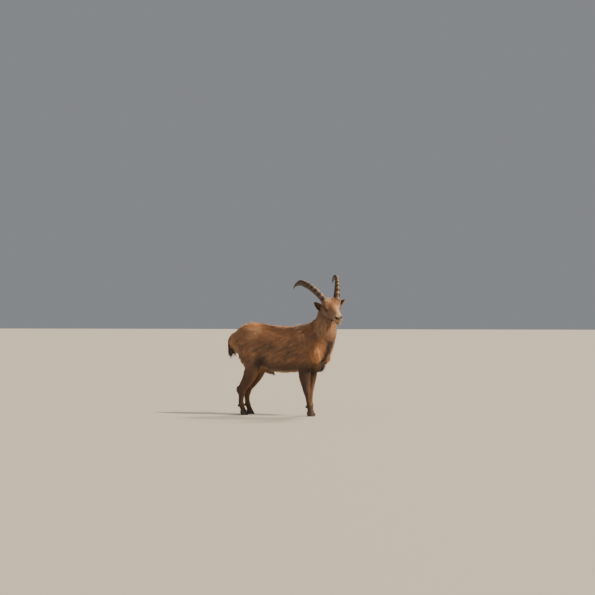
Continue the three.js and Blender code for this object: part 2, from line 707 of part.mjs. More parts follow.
// A closed body between two sheets of points with the same rows and columns
function shell(front, behind) {
  const rows = front.length;
  const columns = front[0].length;
  const points = [...front.flat(), ...behind.flat()];
  const at = (r, c, layer) => layer * rows * columns + r * columns + c;
  const faces = [];
  const quad = (a, b, c, d) => faces.push(a, b, c, a, c, d);
  for (let r = 0; r + 1 < rows; r++)
    for (let c = 0; c + 1 < columns; c++) {
      quad(at(r, c, 0), at(r, c + 1, 0), at(r + 1, c + 1, 0), at(r + 1, c, 0));
      quad(at(r, c, 1), at(r + 1, c, 1), at(r + 1, c + 1, 1), at(r, c + 1, 1));
    }
  for (let c = 0; c + 1 < columns; c++) {
    quad(at(0, c, 0), at(0, c, 1), at(0, c + 1, 1), at(0, c + 1, 0));
    quad(at(rows - 1, c, 0), at(rows - 1, c + 1, 0), at(rows - 1, c + 1, 1), at(rows - 1, c, 1));
  }
  for (let r = 0; r + 1 < rows; r++) {
    quad(at(r, 0, 0), at(r + 1, 0, 0), at(r + 1, 0, 1), at(r, 0, 1));
    quad(at(r, columns - 1, 0), at(r, columns - 1, 1), at(r + 1, columns - 1, 1), at(r + 1, columns - 1, 0));
  }
  return { points, faces };
}

// Ears: a leaf rolled into a cup that opens forwards and outwards
const EAR = { long: 106, wide: 26, thick: 5 };
const EAR_RAISED = { right: 45, left: 34 };
function earOf(s) {
  const root = onHead(-58, s * 55, -98);
  const raised = degrees(s < 0 ? EAR_RAISED.right : EAR_RAISED.left);
  const along = vec(0.2, s * Math.cos(raised), Math.sin(raised)).normalize().applyMatrix4(crownTurn);
  const opening = vec(0.9, s * 0.3, -0.2).normalize().applyMatrix4(crownTurn);
  const open = opening.addScaledVector(along, -opening.dot(along)).normalize();
  const across = along.clone().cross(open).multiplyScalar(s);
  const sheet = (thick) =>
    Array.from({ length: 8 }, (_, r) => {
      const share = r / 7;
      const wide = EAR.wide * Math.sin(Math.PI * (0.2 + 0.8 * share ** 0.85)) ** 0.7 + 1.5;
      const roll = degrees(112 - 62 * share);
      return Array.from({ length: 7 }, (_, c) => {
        const a = roll * (c / 3 - 1);
        const edge = 1 - 0.6 * Math.abs(c / 3 - 1) ** 3;
        const radius = wide / Math.max(Math.sin(Math.min(roll, Math.PI / 2)), 0.3) + thick * edge;
        return root
          .clone()
          .addScaledVector(along, EAR.long * share)
          .addScaledVector(across, radius * Math.sin(a))
          .addScaledVector(open, -radius * Math.cos(a) + 0.25 * wide);
      });
    });
  const [inner, outer] = [sheet(0), sheet(EAR.thick)];
  return s > 0 ? shell(inner, outer) : shell(outer, inner);
}
const grownNeck = solid(geometryOf(grown(neckNet, body, GAP)));
for (const s of sides) {
  const made = solid(geometryOf(earOf(s))).subtract(grownNeck);
  group.add(meshOf(s < 0 ? "ear_right" : "ear_left", made.subtract(grownHead), coat));
}

// Tail
const tail = limb(
  [
    station(-425, 0, 716, 28, 26),
    station(-466, 0, 706, 33, 28),
    station(-496, 0, 664, 33, 28),
    station(-500, 0, 622, 25, 23),
  ],
  vec(0, 1, 0),
  0,
);
const tailNet = polygonize(tail.distance, box(-550, -60, 480, -400, 60, 770), vec(14, 13, 22));

// A flat tapered lock of hair: a blade of four-sided rings along a curve, ending in a point
function lock(path, facing, wide, thick) {
  const rings = [0, 0.3, 0.6, 0.85, 1].map((share) => {
    const at = path.getPointAt(share);
    const along = path.getTangentAt(share);
    const out = facing.clone().addScaledVector(along, -facing.dot(along)).normalize();
    const side = along.clone().cross(out);
    const size = Math.max(Math.sin(Math.PI * (0.35 + 0.65 * share)) ** 0.8, 0.06);
    const corner = (u, v) =>
      at.clone().addScaledVector(side, u * wide * size).addScaledVector(out, v * thick * size);
    return [corner(1, 0), corner(0, 1), corner(-1, 0), corner(0, -1)];
  });
  return solid(geometryOf(loft(rings)));
}

let seed = 7;
function random() {
  seed = (seed * 16807) % 2147483647;
  return seed / 2147483647;
}
let tailSolid = solid(geometryOf(tailNet));
for (let i = 0; i < TAIL_LOCKS; i++) {
  const turn = (i / TAIL_LOCKS) * 2 * Math.PI + 0.2;
  const high = 640 - 8 * random();
  const out = vec(-Math.cos(turn), Math.sin(turn), 0);
  const length = 100 + 18 * random();
  const root = vec(-500, 0, high).addScaledVector(out, 8);
  const path = new THREE.CatmullRomCurve3([
    root,
    root.clone().addScaledVector(out, 4).add(vec(0, 0, -0.4 * length)),
    root.clone().addScaledVector(out, 5).add(vec(5, 0, -0.75 * length)),
    root.clone().addScaledVector(out, 5).add(vec(12, 0, -length)),
  ]);
  tailSolid = tailSolid.add(lock(path, out, 9, 6));
}
const grownTrunk = solid(geometryOf(grown(trunkNet, body, GAP)));
group.add(meshOf("tail", tailSolid.subtract(grownTrunk), darkCoat));

// The origin goes to the middle of the outline, on the floor
const whole = new THREE.Box3().setFromObject(group);
const middle = whole.getCenter(vec(0, 0, 0));
group.position.set(-middle.x, -middle.y, -whole.min.z);

export default group;
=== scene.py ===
# Alpine ibex, a young male with its head turned: skin, coat, horns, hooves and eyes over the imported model.
# Places are millimetres in the animal's own frame (+X towards the chest, +Y to its left, feet on z = 0)
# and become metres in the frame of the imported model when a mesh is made.

import math

import bmesh
import bpy
import numpy as np
from mathutils import Matrix, Vector


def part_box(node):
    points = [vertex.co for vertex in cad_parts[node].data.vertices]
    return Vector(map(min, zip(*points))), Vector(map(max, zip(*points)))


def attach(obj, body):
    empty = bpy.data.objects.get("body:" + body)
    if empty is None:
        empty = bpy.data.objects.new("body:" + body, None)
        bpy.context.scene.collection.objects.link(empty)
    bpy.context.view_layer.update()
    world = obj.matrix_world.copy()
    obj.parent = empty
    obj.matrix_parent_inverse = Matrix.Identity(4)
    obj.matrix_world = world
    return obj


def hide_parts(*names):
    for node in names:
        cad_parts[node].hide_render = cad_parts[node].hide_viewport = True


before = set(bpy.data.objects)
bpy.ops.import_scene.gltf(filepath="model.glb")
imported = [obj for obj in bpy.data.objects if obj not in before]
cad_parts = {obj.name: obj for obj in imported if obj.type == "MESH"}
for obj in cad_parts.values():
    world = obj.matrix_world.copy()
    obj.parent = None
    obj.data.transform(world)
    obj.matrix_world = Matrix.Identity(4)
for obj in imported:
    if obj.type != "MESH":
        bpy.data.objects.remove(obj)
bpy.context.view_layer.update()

# Driving dimensions, as in the solids
LEG_SPREAD = 86  # a foot's distance from the middle plane
CHEST_YAW = -12  # the front of the chest is turned after the head
CHEST_PIVOT = 250  # the place ahead of which it turns
NECK_TURN = 16
HEAD_AT = np.array([530.0, -73.0, 1016.0])  # forehead, at the front of the horn bases
HEAD_YAW = -51
HEAD_PITCH = 27
HEAD_ROLL = 8.5
HEAD_SCALE = 1.12
EYE_RADIUS = 16
EYE_DEPTH = 13.5
LID_THICKNESS = 3.4
EYE_OPENING = (15, 9.5)  # half length and half height between the lids
MOUTH_CORNER = 143  # along the head's frame
MOUTH_DEPTH = 99.1  # from the forehead down to the line between the lips, which slopes
MOUTH_SLOPE = 0.07
CORONET_HEIGHT = 38
CORONET_SLOPE = 0.25
HORN_WIDTHS = (36, 30)  # half sizes at the base, to the front and to the side
SIDES = (-1, 1)
SIDE_NAMES = {-1: "right", 1: "left"}
ACROSS = (0, 1, 0)

# The front left foot's toe is 308 mm ahead of the animal's own origin, and its feet stand evenly about it
TOE_X = 308
left_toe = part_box("hoof_front_left_outer")[1]
right_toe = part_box("hoof_front_right_outer")[0]
ORIGIN = np.array([left_toe.x - TOE_X / 1000, (left_toe.y + right_toe.y) / 2, 0.0])


def to_frame(points):
    return np.asarray(points, float) / 1000 + ORIGIN


def unit(v):
    v = np.asarray(v, float)
    return v / np.maximum(np.linalg.norm(v, axis=-1, keepdims=True), 1e-12)


def turned(yaw=0, pitch=0, roll=0):
    """Turn about z after x after y, in degrees, as a 3 x 3 matrix"""
    z, x, y = (Matrix.Rotation(math.radians(a), 3, axis) for a, axis in zip((yaw, roll, pitch), "ZXY"))
    return np.array(z @ x @ y)


def ramp(x, low, high):
    """0 at low, rising smoothly to 1 at high"""
    t = np.clip((x - low) / (high - low), 0, 1)
    return t * t * (3 - 2 * t)


def bump(x, middle, half):
    """1 at the middle, falling smoothly to 0 at half on either side"""
    return 1 - ramp(np.abs(x - middle), 0, half)


def within(x):
    return np.clip(x, 0, 1)


def away(p, place):
    """How far points are from a place"""
    return np.linalg.norm(p - place, axis=1)


def layered(rows, *layers):
    """Rows of three numbers with others laid over them in turn, each by its share from 0 to 1"""
    for other, share in layers:
        rows = rows + (other - rows) * share[:, None]
    return rows


# The head's frame: x along the nose line, y to its left, z out of the forehead
HEAD_TURN = turned(HEAD_YAW, HEAD_PITCH, HEAD_ROLL)
CROWN_TURN = turned(HEAD_YAW + 4, 0, HEAD_ROLL)


def on_chest(x, y, z):
    return turned(CHEST_YAW) @ np.array([x - CHEST_PIVOT, y, z], float) + (CHEST_PIVOT, 0, 0)


def on_head(x, y, z):
    return HEAD_TURN @ (HEAD_SCALE * np.array([x, y, z], float)) + HEAD_AT


def head_axis(x, y, z):
    return unit(HEAD_TURN @ np.array([x, y, z], float))


def in_head(p):
    return (p - HEAD_AT) @ HEAD_TURN


def head_units(p):
    """Places in the head's frame, before it is scaled"""
    return in_head(p) / HEAD_SCALE


def above_mouth(p):
    """Height over the line between the lips"""
    q = in_head(p)
    return q[:, 2] + MOUTH_DEPTH + MOUTH_SLOPE * q[:, 0]


HEAD_MIDDLE = on_head(60, 0, -60)


# Rounded forms, as in the solids
def catmull(points, shares, even=True):
    """A Catmull-Rom curve through points, at shares of its spans; its ends run straight on"""
    points = np.asarray(points, float)
    points = np.vstack([2 * points[0] - points[1], points, 2 * points[-1] - points[-2]])
    spans = len(points) - 3
    at = np.clip(np.asarray(shares, float) * spans, 0, spans - 1e-9)
    i = at.astype(int)
    t = (at - i)[:, None]
    p0, p1, p2, p3 = (points[i + k] for k in range(4))
    if even:
        m1, m2 = (p2 - p0) / 2, (p3 - p1) / 2
    else:
        a, b, c = (np.sqrt(np.linalg.norm(q, axis=1))[:, None] for q in (p1 - p0, p2 - p1, p3 - p2))
        m1 = ((p1 - p0) / a - (p2 - p0) / (a + b) + (p2 - p1) / b) * b
        m2 = ((p2 - p1) / b - (p3 - p1) / (b + c) + (p3 - p2) / c) * b
    c2 = 3 * (p2 - p1) - 2 * m1 - m2
    c3 = 2 * (p1 - p2) + m1 + m2
    return p1 + m1 * t + c2 * t**2 + c3 * t**3


def round_distance(u, v, w, ru, rv, rw):
    a, b, c = u / ru, v / rv, w / rw
    k0 = np.sqrt(a * a + b * b + c * c)
    k1 = np.sqrt((a / ru) ** 2 + (b / rv) ** 2 + (c / rw) ** 2)
    return k0 * (k0 - 1) / np.maximum(k1, 1e-9)


def limb(stations, sideways, blend):
    """A tube through stations (x, y, z, half width, half depth, egg)"""
    stations = np.array([tuple(s) + (0,) * (6 - len(s)) for s in stations], float)
    path = catmull(stations, np.linspace(0, 1, 4 * (len(stations) - 1) + 1))
    sideways = np.asarray(sideways, float)
    reach = stations[:, 3:5].max()
    low, high = stations[:, :3].min(0) - reach, stations[:, :3].max(0) + reach

    def distance(p):
        best = np.full(len(p), 1e9, p.dtype)
        for a, b in zip(path[:-1], path[1:]):
            along = b[:3] - a[:3]
            length = np.linalg.norm(along)
            along = along / length
            side = unit(sideways - along * (sideways @ along))
            up = np.cross(along, side)
            d = p - a[:3].astype(p.dtype)
            t, u, v = (d @ np.column_stack([along, side, up]).astype(p.dtype)).T
            on = np.clip(t, 0, length)
            share = on / length
            wide, deep, egg = (a[k] + (b[k] - a[k]) * share for k in (3, 4, 5))
            wide = wide * (1 + egg * np.clip(v / deep, -1, 1))
            best = np.minimum(best, round_distance(u, v, t - on, wide, deep, np.minimum(wide, deep)))
        return best

    return low, high, blend, distance


def muscle(at, size, turn, blend):
    """A turned ellipsoid"""
    at = np.asarray(at, float)
    reach = max(size)

    def distance(p):
        q = (p - at.astype(p.dtype)) @ turn.astype(p.dtype)
        return round_distance(*q.T, *size)

    return at - reach, at + reach, blend, distance


def leg(rows, side, x, knee, foot):
    """A leg from its table: how far ahead, shares of knee and foot in that, share aside, z, half sizes"""
    stations = []
    for ahead, of_knee, of_foot, aside, *rest in rows:
        stations.append((x + ahead + of_knee * knee + of_foot * foot, side * LEG_SPREAD * aside, *rest))
    return limb(stations, ACROSS, 30)


def head_limb(stations, blend):
    scaled = []
    for x, z, wide, deep, egg in stations:
        scaled.append((*on_head(x, 0, z), HEAD_SCALE * wide, HEAD_SCALE * deep, egg))
    return limb(scaled, head_axis(*ACROSS), blend)


def head_muscle(side, x, y, z, size, yaw, pitch, blend):
    turn = HEAD_TURN @ turned(side * yaw, pitch)
    return muscle(on_head(x, side * y, z), [HEAD_SCALE * s for s in size], turn, blend)


FRONT = [
    (-6, 0, 0, 1.16, 530, 44, 70),
    (-4, 0, 0, 1.1, 430, 44, 62),
    (-4, 0.2, 0, 1.04, 345, 37, 54),
    (-2, 0.6, 0, 1, 275, 30, 42),
    (0, 1, 0, 1, 222, 29, 34),
    (0, 0.8, 0.2, 1, 188, 22, 27),
    (0, 0.5, 0.5, 1, 130, 18.5, 22),
    (0, 0.26, 0.74, 1, 92, 23, 27),
    (0, 0.1, 0.9, 1, 62, 22, 24),
    (0, 0, 1, 1, 30, 26, 30),
]
HIND = [
    (78, 0, 0, 0.95, 560, 58, 100),
    (118, 0, 0, 1.05, 455, 54, 82),
    (98, 0, 0, 1.08, 370, 42, 68),
    (62, 0, 0, 1.04, 305, 33, 54),
    (22, 0, 0, 1, 250, 27, 44),
    (8, 0, 0, 1, 210, 25, 38),
    (3, 0, 0, 1, 165, 20, 28),
    (0, 0, 1, 1, 122, 19, 24),
    (4, 0, 1, 1, 90, 23, 27),
    (16, 0, 1, 1, 60, 22, 24),
    (26, 0, 1, 1, 30, 26, 30),
]
# The stance of each leg: its table, its side, its place, and how far knee and foot are ahead of that
LEGS = {
    "front_right": (FRONT, -1, 283, 18, 50),
    "front_left": (FRONT, 1, 270, -14, -6),
    "hind_right": (HIND, -1, -345, 0, 0),
    "hind_left": (HIND, 1, -372, 0, 6),
}
TRUNK = [
    (-440, 0, 650, 60, 62, 0.1),
    (-385, 0, 650, 100, 108, 0.15),
    (-290, 0, 640, 124, 164, 0.15),
    (-160, 0, 618, 130, 194, 0.05),
    (0, 0, 588, 148, 210, -0.05),
    (120, 0, 586, 150, 206, -0.05),
    (240, 0, 590, 134, 198, 0.1),
    (335, 0, 580, 116, 172, 0.15),
    (354, -22, 548, 90, 122, 0.1),
]
NECK = [
    (300, 0, 635, 108, 150),
    (394, 0, 710, 97, 154),
    (424, 2, 785, 82, 134),
    (429, 14, 845, 71, 96),
    (433, 28, 900, 64, 74),
    (440, 36, 950, 58, 64),
]
# In the head's frame: x, z, half width, half depth, egg
SKULL = [
    (-82, -74, 42, 34, 0),
    (-45, -62, 57, 52, 0.05),
    (15, -58, 60, 56, 0.05),
    (75, -60, 45, 50, -0.05),
    (125, -60, 33, 40, -0.1),
    (165, -62, 31, 36, -0.05),
    (178, -63, 28, 31, 0),
]
JAW = [
    (-30, -112, 40, 34, 0),
    (30, -108, 38, 34, 0),
    (95, -100, 27, 24, 0),
    (150, -101, 22, 19, 0),
    (176, -105, 19, 17, 0),
]
# x, y, z, half sizes, yaw, pitch, blend
FACE = [
    (2, 34, -98, (52, 22, 44), -6, 12, 24),
    (34, 47, -42, (34, 20, 20), -10, 8, 14),
    (60, 42, -82, (42, 14, 13), -14, -6, 14),
    (-52, 50, -90, (26, 24, 28), 0, 0, 20),
    (184, 17, -48, (15, 11, 13), 0, 0, 9),
    (176, 14, -78, (20, 17, 13), 0, 0, 9),
    (-2, 40, -16, (44, 34, 26), 0, 12, 16),
]
TAIL = [(-425, 0, 716, 28, 26), (-466, 0, 706, 33, 28), (-496, 0, 664, 33, 28), (-500, 0, 622, 25, 23)]


def flesh_forms():
    forms = [limb(TRUNK, ACROSS, 0)]
    for s in SIDES:
        forms += [
            muscle((280, s * 98, 590), (95, 54, 165), turned(s * -6, -20), 45),
            muscle(on_chest(412, s * 72, 542), (52, 46, 78), turned(CHEST_YAW, -8), 20),
            muscle((-262, s * 82, 565), (100, 60, 160), turned(0, -12), 45),
            muscle((-262, s * 62, 751), (72, 42, 48), turned(), 50),
        ]
    forms += [
        muscle((215, 0, 745), (95, 42, 52), turned(), 50),
        muscle((-256, 0, 742), (130, 76, 72), turned(), 60),
        muscle(on_chest(390, 0, 440), (68, 46, 48), turned(0, -24), 40),
        limb(NECK, (math.sin(math.radians(NECK_TURN)), math.cos(math.radians(NECK_TURN)), 0), 70),
    ]
    forms += [leg(*stance) for stance in LEGS.values()]
    for rows, s, x, _, _ in LEGS.values():
        if rows is HIND:
            forms.append(muscle((x - 30, s * LEG_SPREAD, 228), (16, 14, 28), turned(0, 4), 24))
    forms += [head_limb(SKULL, 40), head_limb(JAW, 16)]
    forms += [head_muscle(s, *row) for s in SIDES for row in FACE]
    forms.append(head_muscle(1, 172, 0, -113, (18, 18, 15), 0, 0, 10))
    return forms


FLESH = flesh_forms()
ADDED = (
    limb(TAIL, ACROSS, 22),
    muscle((-102, 0, 389), (60, 17, 21), turned(0, 15), 14),
    muscle((-312, 0, 468), (25, 22, 40), turned(0, -8), 14),
)
NEAR = 60  # a form is worked out only this near to its box


def smooth_min(d, e, k):
    h = np.maximum(k - np.abs(d - e), 0) / k if k > 0 else 0
    return np.minimum(d, e) - h * h * k / 4


def smooth_max(d, e, k):
    return -smooth_min(-d, -e, k)


def field_of(forms, p):
    d = np.full(len(p), 1e3, p.dtype)
    for low, high, blend, distance in forms:
        near = np.nonzero(((p > low - NEAR) & (p < high + NEAR)).all(1))[0]
        if len(near):
            d[near] = smooth_min(d[near], distance(p[near]), blend)
    return d


def gradient(field, p, step=0.6):
    corners = np.array([[1, -1, -1], [-1, 1, -1], [-1, -1, 1], [1, 1, 1]], float)
    values = [field(p + step * c) for c in corners]
    slope = sum(v[:, None] * c for v, c in zip(values, corners)) / (4 * step)
    return slope, sum(values) / 4


def settled(field, p, passes=3, most=6.0):
    """The points moved onto the surface where the field is 0"""
    for _ in range(passes):
        slope, value = gradient(field, p)
        move = -slope * (value / np.maximum((slope**2).sum(1), 0.1))[:, None]
        length = np.linalg.norm(move, axis=1, keepdims=True)
        p = p + move * np.minimum(1, most / np.maximum(length, 1e-9))
    return p


# Where a point lies on the animal, as shares from 0 to 1
def head_share(p):
    q = head_units(p)
    return ramp(q[:, 0] - 0.35 * (q[:, 2] + 100), -105, -60) * ramp(q[:, 2], -175, -130)


def leg_share(p):
    front = ramp(p[:, 2], 440, 330) * (p[:, 0] > 60)
    hind = ramp(p[:, 2], 500, 340) * (p[:, 0] < -60)
    return front + hind


def horn_share(p):
    """1 next to the foot of a horn, 0 well away from it"""
    return np.max([ramp(away(p, on_head(-14, s * 48, -12)), 74, 44) for s in SIDES], axis=0)


def forelock_share(q):
    return bump(q[:, 0], -18, 52) * ramp(q[:, 2], -34, -12)


def coat_depth(p):
    """How far the skin lies below the tips of the coat"""
    trunk = 9 + 2 * ramp(p[:, 2], 470, 400)
    depth = trunk + (2.6 - trunk) * leg_share(p)
    muzzle = ramp(head_units(p)[:, 0], 60, 140)
    return depth + (2.6 - 1.4 * muzzle - depth) * head_share(p)


# Eyes: each a place, a direction out of the head, and a frame (long, high, out)
def eye_frame(s):
    out = head_axis(0.3, s * 0.94, 0.14)
    long = head_axis(1, 0, -0.16)
    long = unit(long - out * (long @ out))
    p = on_head(34, s * 40, -50)
    for _ in range(40):
        p = p - 0.7 * field_of(FLESH, p[None])[0] * out
    return p - EYE_DEPTH * out, np.column_stack([long, -s * np.cross(out, long), out])


EYES = {s: eye_frame(s) for s in SIDES}
NOSTRIL = [(196, 15, -54, 10, 7), (191, 21, -47, 11, 4.5)]  # x, y, z, half length, half height


def head_details(p, d):
    """Lids, tear ducts, nostrils and the line of the mouth, worked into the field of the head"""
    q = in_head(p)
    for at, axes in EYES.values():
        e = (p - at) @ axes
        r = np.linalg.norm(e, axis=1)
        near = np.nonzero(r < 60)[0]
        a, b, c = e[near].T
        value = smooth_min(d[near], r[near] - EYE_RADIUS - LID_THICKNESS + 0.6, 5)
        angle = np.arctan2(b / EYE_OPENING[1], a / EYE_OPENING[0])
        high = EYE_OPENING[1] * (0.8 + 0.2 * np.abs(np.sin(angle)))
        almond = round_distance(a, b, 0 * a, EYE_OPENING[0], high, 1e3)
        value = smooth_max(value, -np.maximum(almond, 3 - c), 2)
        fold = np.hypot((a + 1) / 22, (b + 1) / 16.5) - 1
        value = value + 1.3 * np.exp(-((fold * 16 / 1.8) ** 2)) * ramp(b, -2, 7) * (c > 0)
        share = within((a - 15) / 20)
        duct = np.hypot(b + 2 + 9 * share, a - 15 - 20 * share)
        d[near] = value + (2.6 - 1.6 * share) * np.exp(-((duct / 3.2) ** 2)) * (c > 0)
    for s in SIDES:
        for x, y, z, long, high in NOSTRIL:
            turn = HEAD_TURN @ turned(s * 38, -16)
            hole = muscle(on_head(x, s * y, z), (long, 6.5, high), turn, 0)[3](p)
            d = smooth_max(d, -hole, 2.5)
    line = above_mouth(p) + 5 * ramp(q[:, 0], MOUTH_CORNER + 30, MOUTH_CORNER - 6)
    inside = ramp(q[:, 0], MOUTH_CORNER - 4, MOUTH_CORNER + 10)
    d = d + 4.2 * np.exp(-((line / 1.9) ** 2)) * inside
    groove = np.exp(-((q[:, 1] / 2.2) ** 2)) * bump(q[:, 2], -78, 22) * ramp(q[:, 0], 190, 205)
    return d + 1.6 * groove


def skin_field(p):
    d = field_of(FLESH, p)
    for _, _, blend, distance in ADDED:
        d = smooth_min(d, distance(p), blend)
    d = d + coat_depth(p).astype(p.dtype)
    head = np.nonzero(away(p, HEAD_MIDDLE) < 260)[0]
    if len(head):
        d[head] = head_details(p[head], d[head])
    return d


# The skin's net: a coarse grid finds the surface, a fine one follows it
GRID_LOW = np.array([-560.0, -230.0, 6.0])
GRID_HIGH = np.array([700.0, 230.0, 1100.0])
COARSE = 24.0
FINE_PER_COARSE = 4
CORNERS = list(np.ndindex(2, 2, 2))


def at_corner(grid, corner):
    """A grid's values at one corner of each of its cells"""
    return grid[tuple(slice(i, i + size - 1) for i, size in zip(corner, grid.shape))]


def repeated(grid, times):
    for axis in range(3):
        grid = np.repeat(grid, times, axis)
    return grid


def surface_net():
    count = np.ceil((GRID_HIGH - GRID_LOW) / COARSE).astype(int)
    axes = [GRID_LOW[a] + COARSE * np.arange(count[a] + 1) for a in range(3)]
    corners = np.stack(np.meshgrid(*axes, indexing="ij"), -1).astype(np.float32)
    coarse = skin_field(corners.reshape(-1, 3)).reshape(corners.shape[:3])
    active = np.min([np.abs(at_corner(coarse, c)) for c in CORNERS], axis=0) < 1.5 * COARSE
    fine = repeated(coarse[:-1, :-1, :-1], FINE_PER_COARSE)
    index = np.argwhere(repeated(active, FINE_PER_COARSE))
    cell = COARSE / FINE_PER_COARSE
    fine[tuple(index.T)] = skin_field((GRID_LOW + cell * index).astype(np.float32))
    return net_of(fine.astype(float), GRID_LOW, cell)


def net_of(values, low, cell):
    """A point in each cell that the surface crosses, and a four-sided face for each crossed edge"""
    inside = np.sum([at_corner(values, c) < 0 for c in CORNERS], axis=0)
    cut = (inside > 0) & (inside < 8)
    cells = np.argwhere(cut)
    number = np.full(cut.shape, -1)
    number[cut] = np.arange(len(cells))
    total = np.zeros((len(cells), 3))
    crossings = np.zeros(len(cells))
    for start, axis in ((c, axis) for c in CORNERS for axis in range(3) if not c[axis]):
        end = np.array(start)
        end[axis] = 1
        va, vb = at_corner(values, start)[cut], at_corner(values, end)[cut]
        cross = (va < 0) != (vb < 0)
        point = cells + np.array(start, float)
        point[:, axis] += np.where(cross, va / np.where(cross, va - vb, 1), 0)
        total += point * cross[:, None]
        crossings += cross
    points = low + cell * total / crossings[:, None]
    faces = []
    for axis in range(3):
        start = [slice(1, -1)] * 3
        start[axis] = slice(0, -1)
        end = list(start)
        end[axis] = slice(1, None)
        a, b = values[tuple(start)] < 0, values[tuple(end)] < 0
        others = [c for c in range(3) if c != axis]
        u, v = np.eye(3, dtype=int)[others]
        for flip, crossed in ((False, a & ~b), (True, ~a & b)):
            at = np.argwhere(crossed)
            at[:, others] += 1
            ring = [number[tuple((at - s * u - t * v).T)] for s, t in ((0, 0), (1, 0), (1, 1), (0, 1))]
            forward = (axis == 1) == flip
            faces.append(np.stack(ring if forward else ring[::-1], 1))
    return points, np.vstack(faces)


# Meshes and their attributes
def write_points(mesh, points):
    mesh.vertices.foreach_set("co", np.ascontiguousarray(to_frame(points), np.float32).ravel())
    mesh.update()


def make_mesh(name, points, faces):
    """A smooth mesh of faces, or of groups of faces with the same number of sides"""
    mesh = bpy.data.meshes.new(name)
    mesh.vertices.add(len(points))
    groups = faces if isinstance(faces, list) else [faces]
    loops = np.concatenate([g.ravel() for g in groups]).astype(np.int32)
    sizes = np.concatenate([np.full(len(g), g.shape[1], np.int32) for g in groups])
    starts = np.concatenate([[0], np.cumsum(sizes)[:-1]]).astype(np.int32)
    mesh.loops.add(len(loops))
    mesh.loops.foreach_set("vertex_index", loops)
    mesh.polygons.add(len(sizes))
    mesh.polygons.foreach_set("loop_start", starts)
    mesh.polygons.foreach_set("use_smooth", np.ones(len(sizes), bool))
    write_points(mesh, points)
    mesh.update(calc_edges=True)
    return mesh


def read(items, name, width=1, kind=np.float32):
    """One attribute of all items of a mesh, a row for each"""
    values = np.zeros(len(items) * width, kind)
    items.foreach_get(name, values)
    return values.reshape(-1, width) if width > 1 else values


def read_places(items, name):
    return (read(items, name, 3) - ORIGIN) * 1000


def paint(mesh, colours):
    layer = mesh.color_attributes.new("Colour", "FLOAT_COLOR", "POINT")
    full = np.ones((len(colours), 4), np.float32)
    full[:, :3] = colours
    layer.data.foreach_set("color", full.ravel())


def add_object(name, data):
    thing = bpy.data.objects.new(name, data)
    bpy.context.scene.collection.objects.link(thing)
    return thing


def place(mesh, material, *nodes):
    piece = add_object(mesh.name, mesh)
    mesh.materials.append(material)
    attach(piece, "root")
    if nodes:
        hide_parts(*nodes)
    return piece


def angles(count):
    """Angles of points that stand evenly round a ring"""
    return np.arange(count) / count * 2 * np.pi


def ball(shares, angle):
    """Rings of points on a ball of radius 1, at shares of the way from its top down"""
    polar = np.pi * shares[:, None]
    wide = np.sin(polar)
    return np.stack([wide * np.cos(angle), wide * np.sin(angle), np.cos(polar) + 0 * angle], -1)


def lofted(rows):
    """Faces of rings of points, and the fans that close both ends"""
    rings, around = rows.shape[:2]
    grid = np.arange(rings * around).reshape(rings, around)
    after = np.roll(grid, -1, axis=1)
    quads = np.stack([grid[:-1], after[:-1], after[1:], grid[1:]], -1).reshape(-1, 4)
    first = np.stack([np.full(around - 2, grid[0, 0]), grid[0, 2:], grid[0, 1:-1]], 1)
    last = np.stack([np.full(around - 2, grid[-1, 0]), grid[-1, 1:-1], grid[-1, 2:]], 1)
    return quads, np.vstack([first, last])


LATTICE = np.array([374761393, 668265263, 2147483647])


def noise(p, size, seed):
    """Smooth noise from a lattice of seeded numbers, each in -1 to 1"""
    q = np.asarray(p, float) / size + 57.3 * seed
    base = np.floor(q).astype(np.int64)
    t = q - base
    t = t * t * (3 - 2 * t)
    total = 0
    for corner in CORNERS:
        h = ((base + corner) * LATTICE).sum(1) + seed * 974711
        h = (h ^ (h >> 13)) * 1274126177
        h = h ^ (h >> 16)
        total = total + ((h & 0xFFFF) / 32767.5 - 1) * np.where(corner, t, 1 - t).prod(1)
    return total


STREAK_TURN = turned(0, -29)  # turns the lie of the flank's hair level


def streaks(p, size, seed):
    """Noise drawn out along the hair: back and down on the trunk, down on the neck, chest and legs"""
    back = noise((p @ STREAK_TURN) * (0.24, 1, 1), size, seed)
    down = noise(p * (1, 1, 0.2), size, seed + 1)
    upright = np.maximum(ramp(p[:, 0], 300, 370), ramp(p[:, 2], 400, 330))
    return back + (down - back) * upright


# Markings, and painted light and shade, as linear colours
REDDISH = np.array([0.30, 0.135, 0.058])
ORANGE = np.array([0.46, 0.205, 0.075])
TAN = np.array([0.50, 0.31, 0.165])
CREAM = np.array([0.62, 0.47, 0.29])
GREYBROWN = np.array([0.165, 0.095, 0.055])
DARK = np.array([0.060, 0.032, 0.020])
BLACKISH = np.array([0.018, 0.012, 0.010])
WHITE = np.array([0.66, 0.56, 0.43])


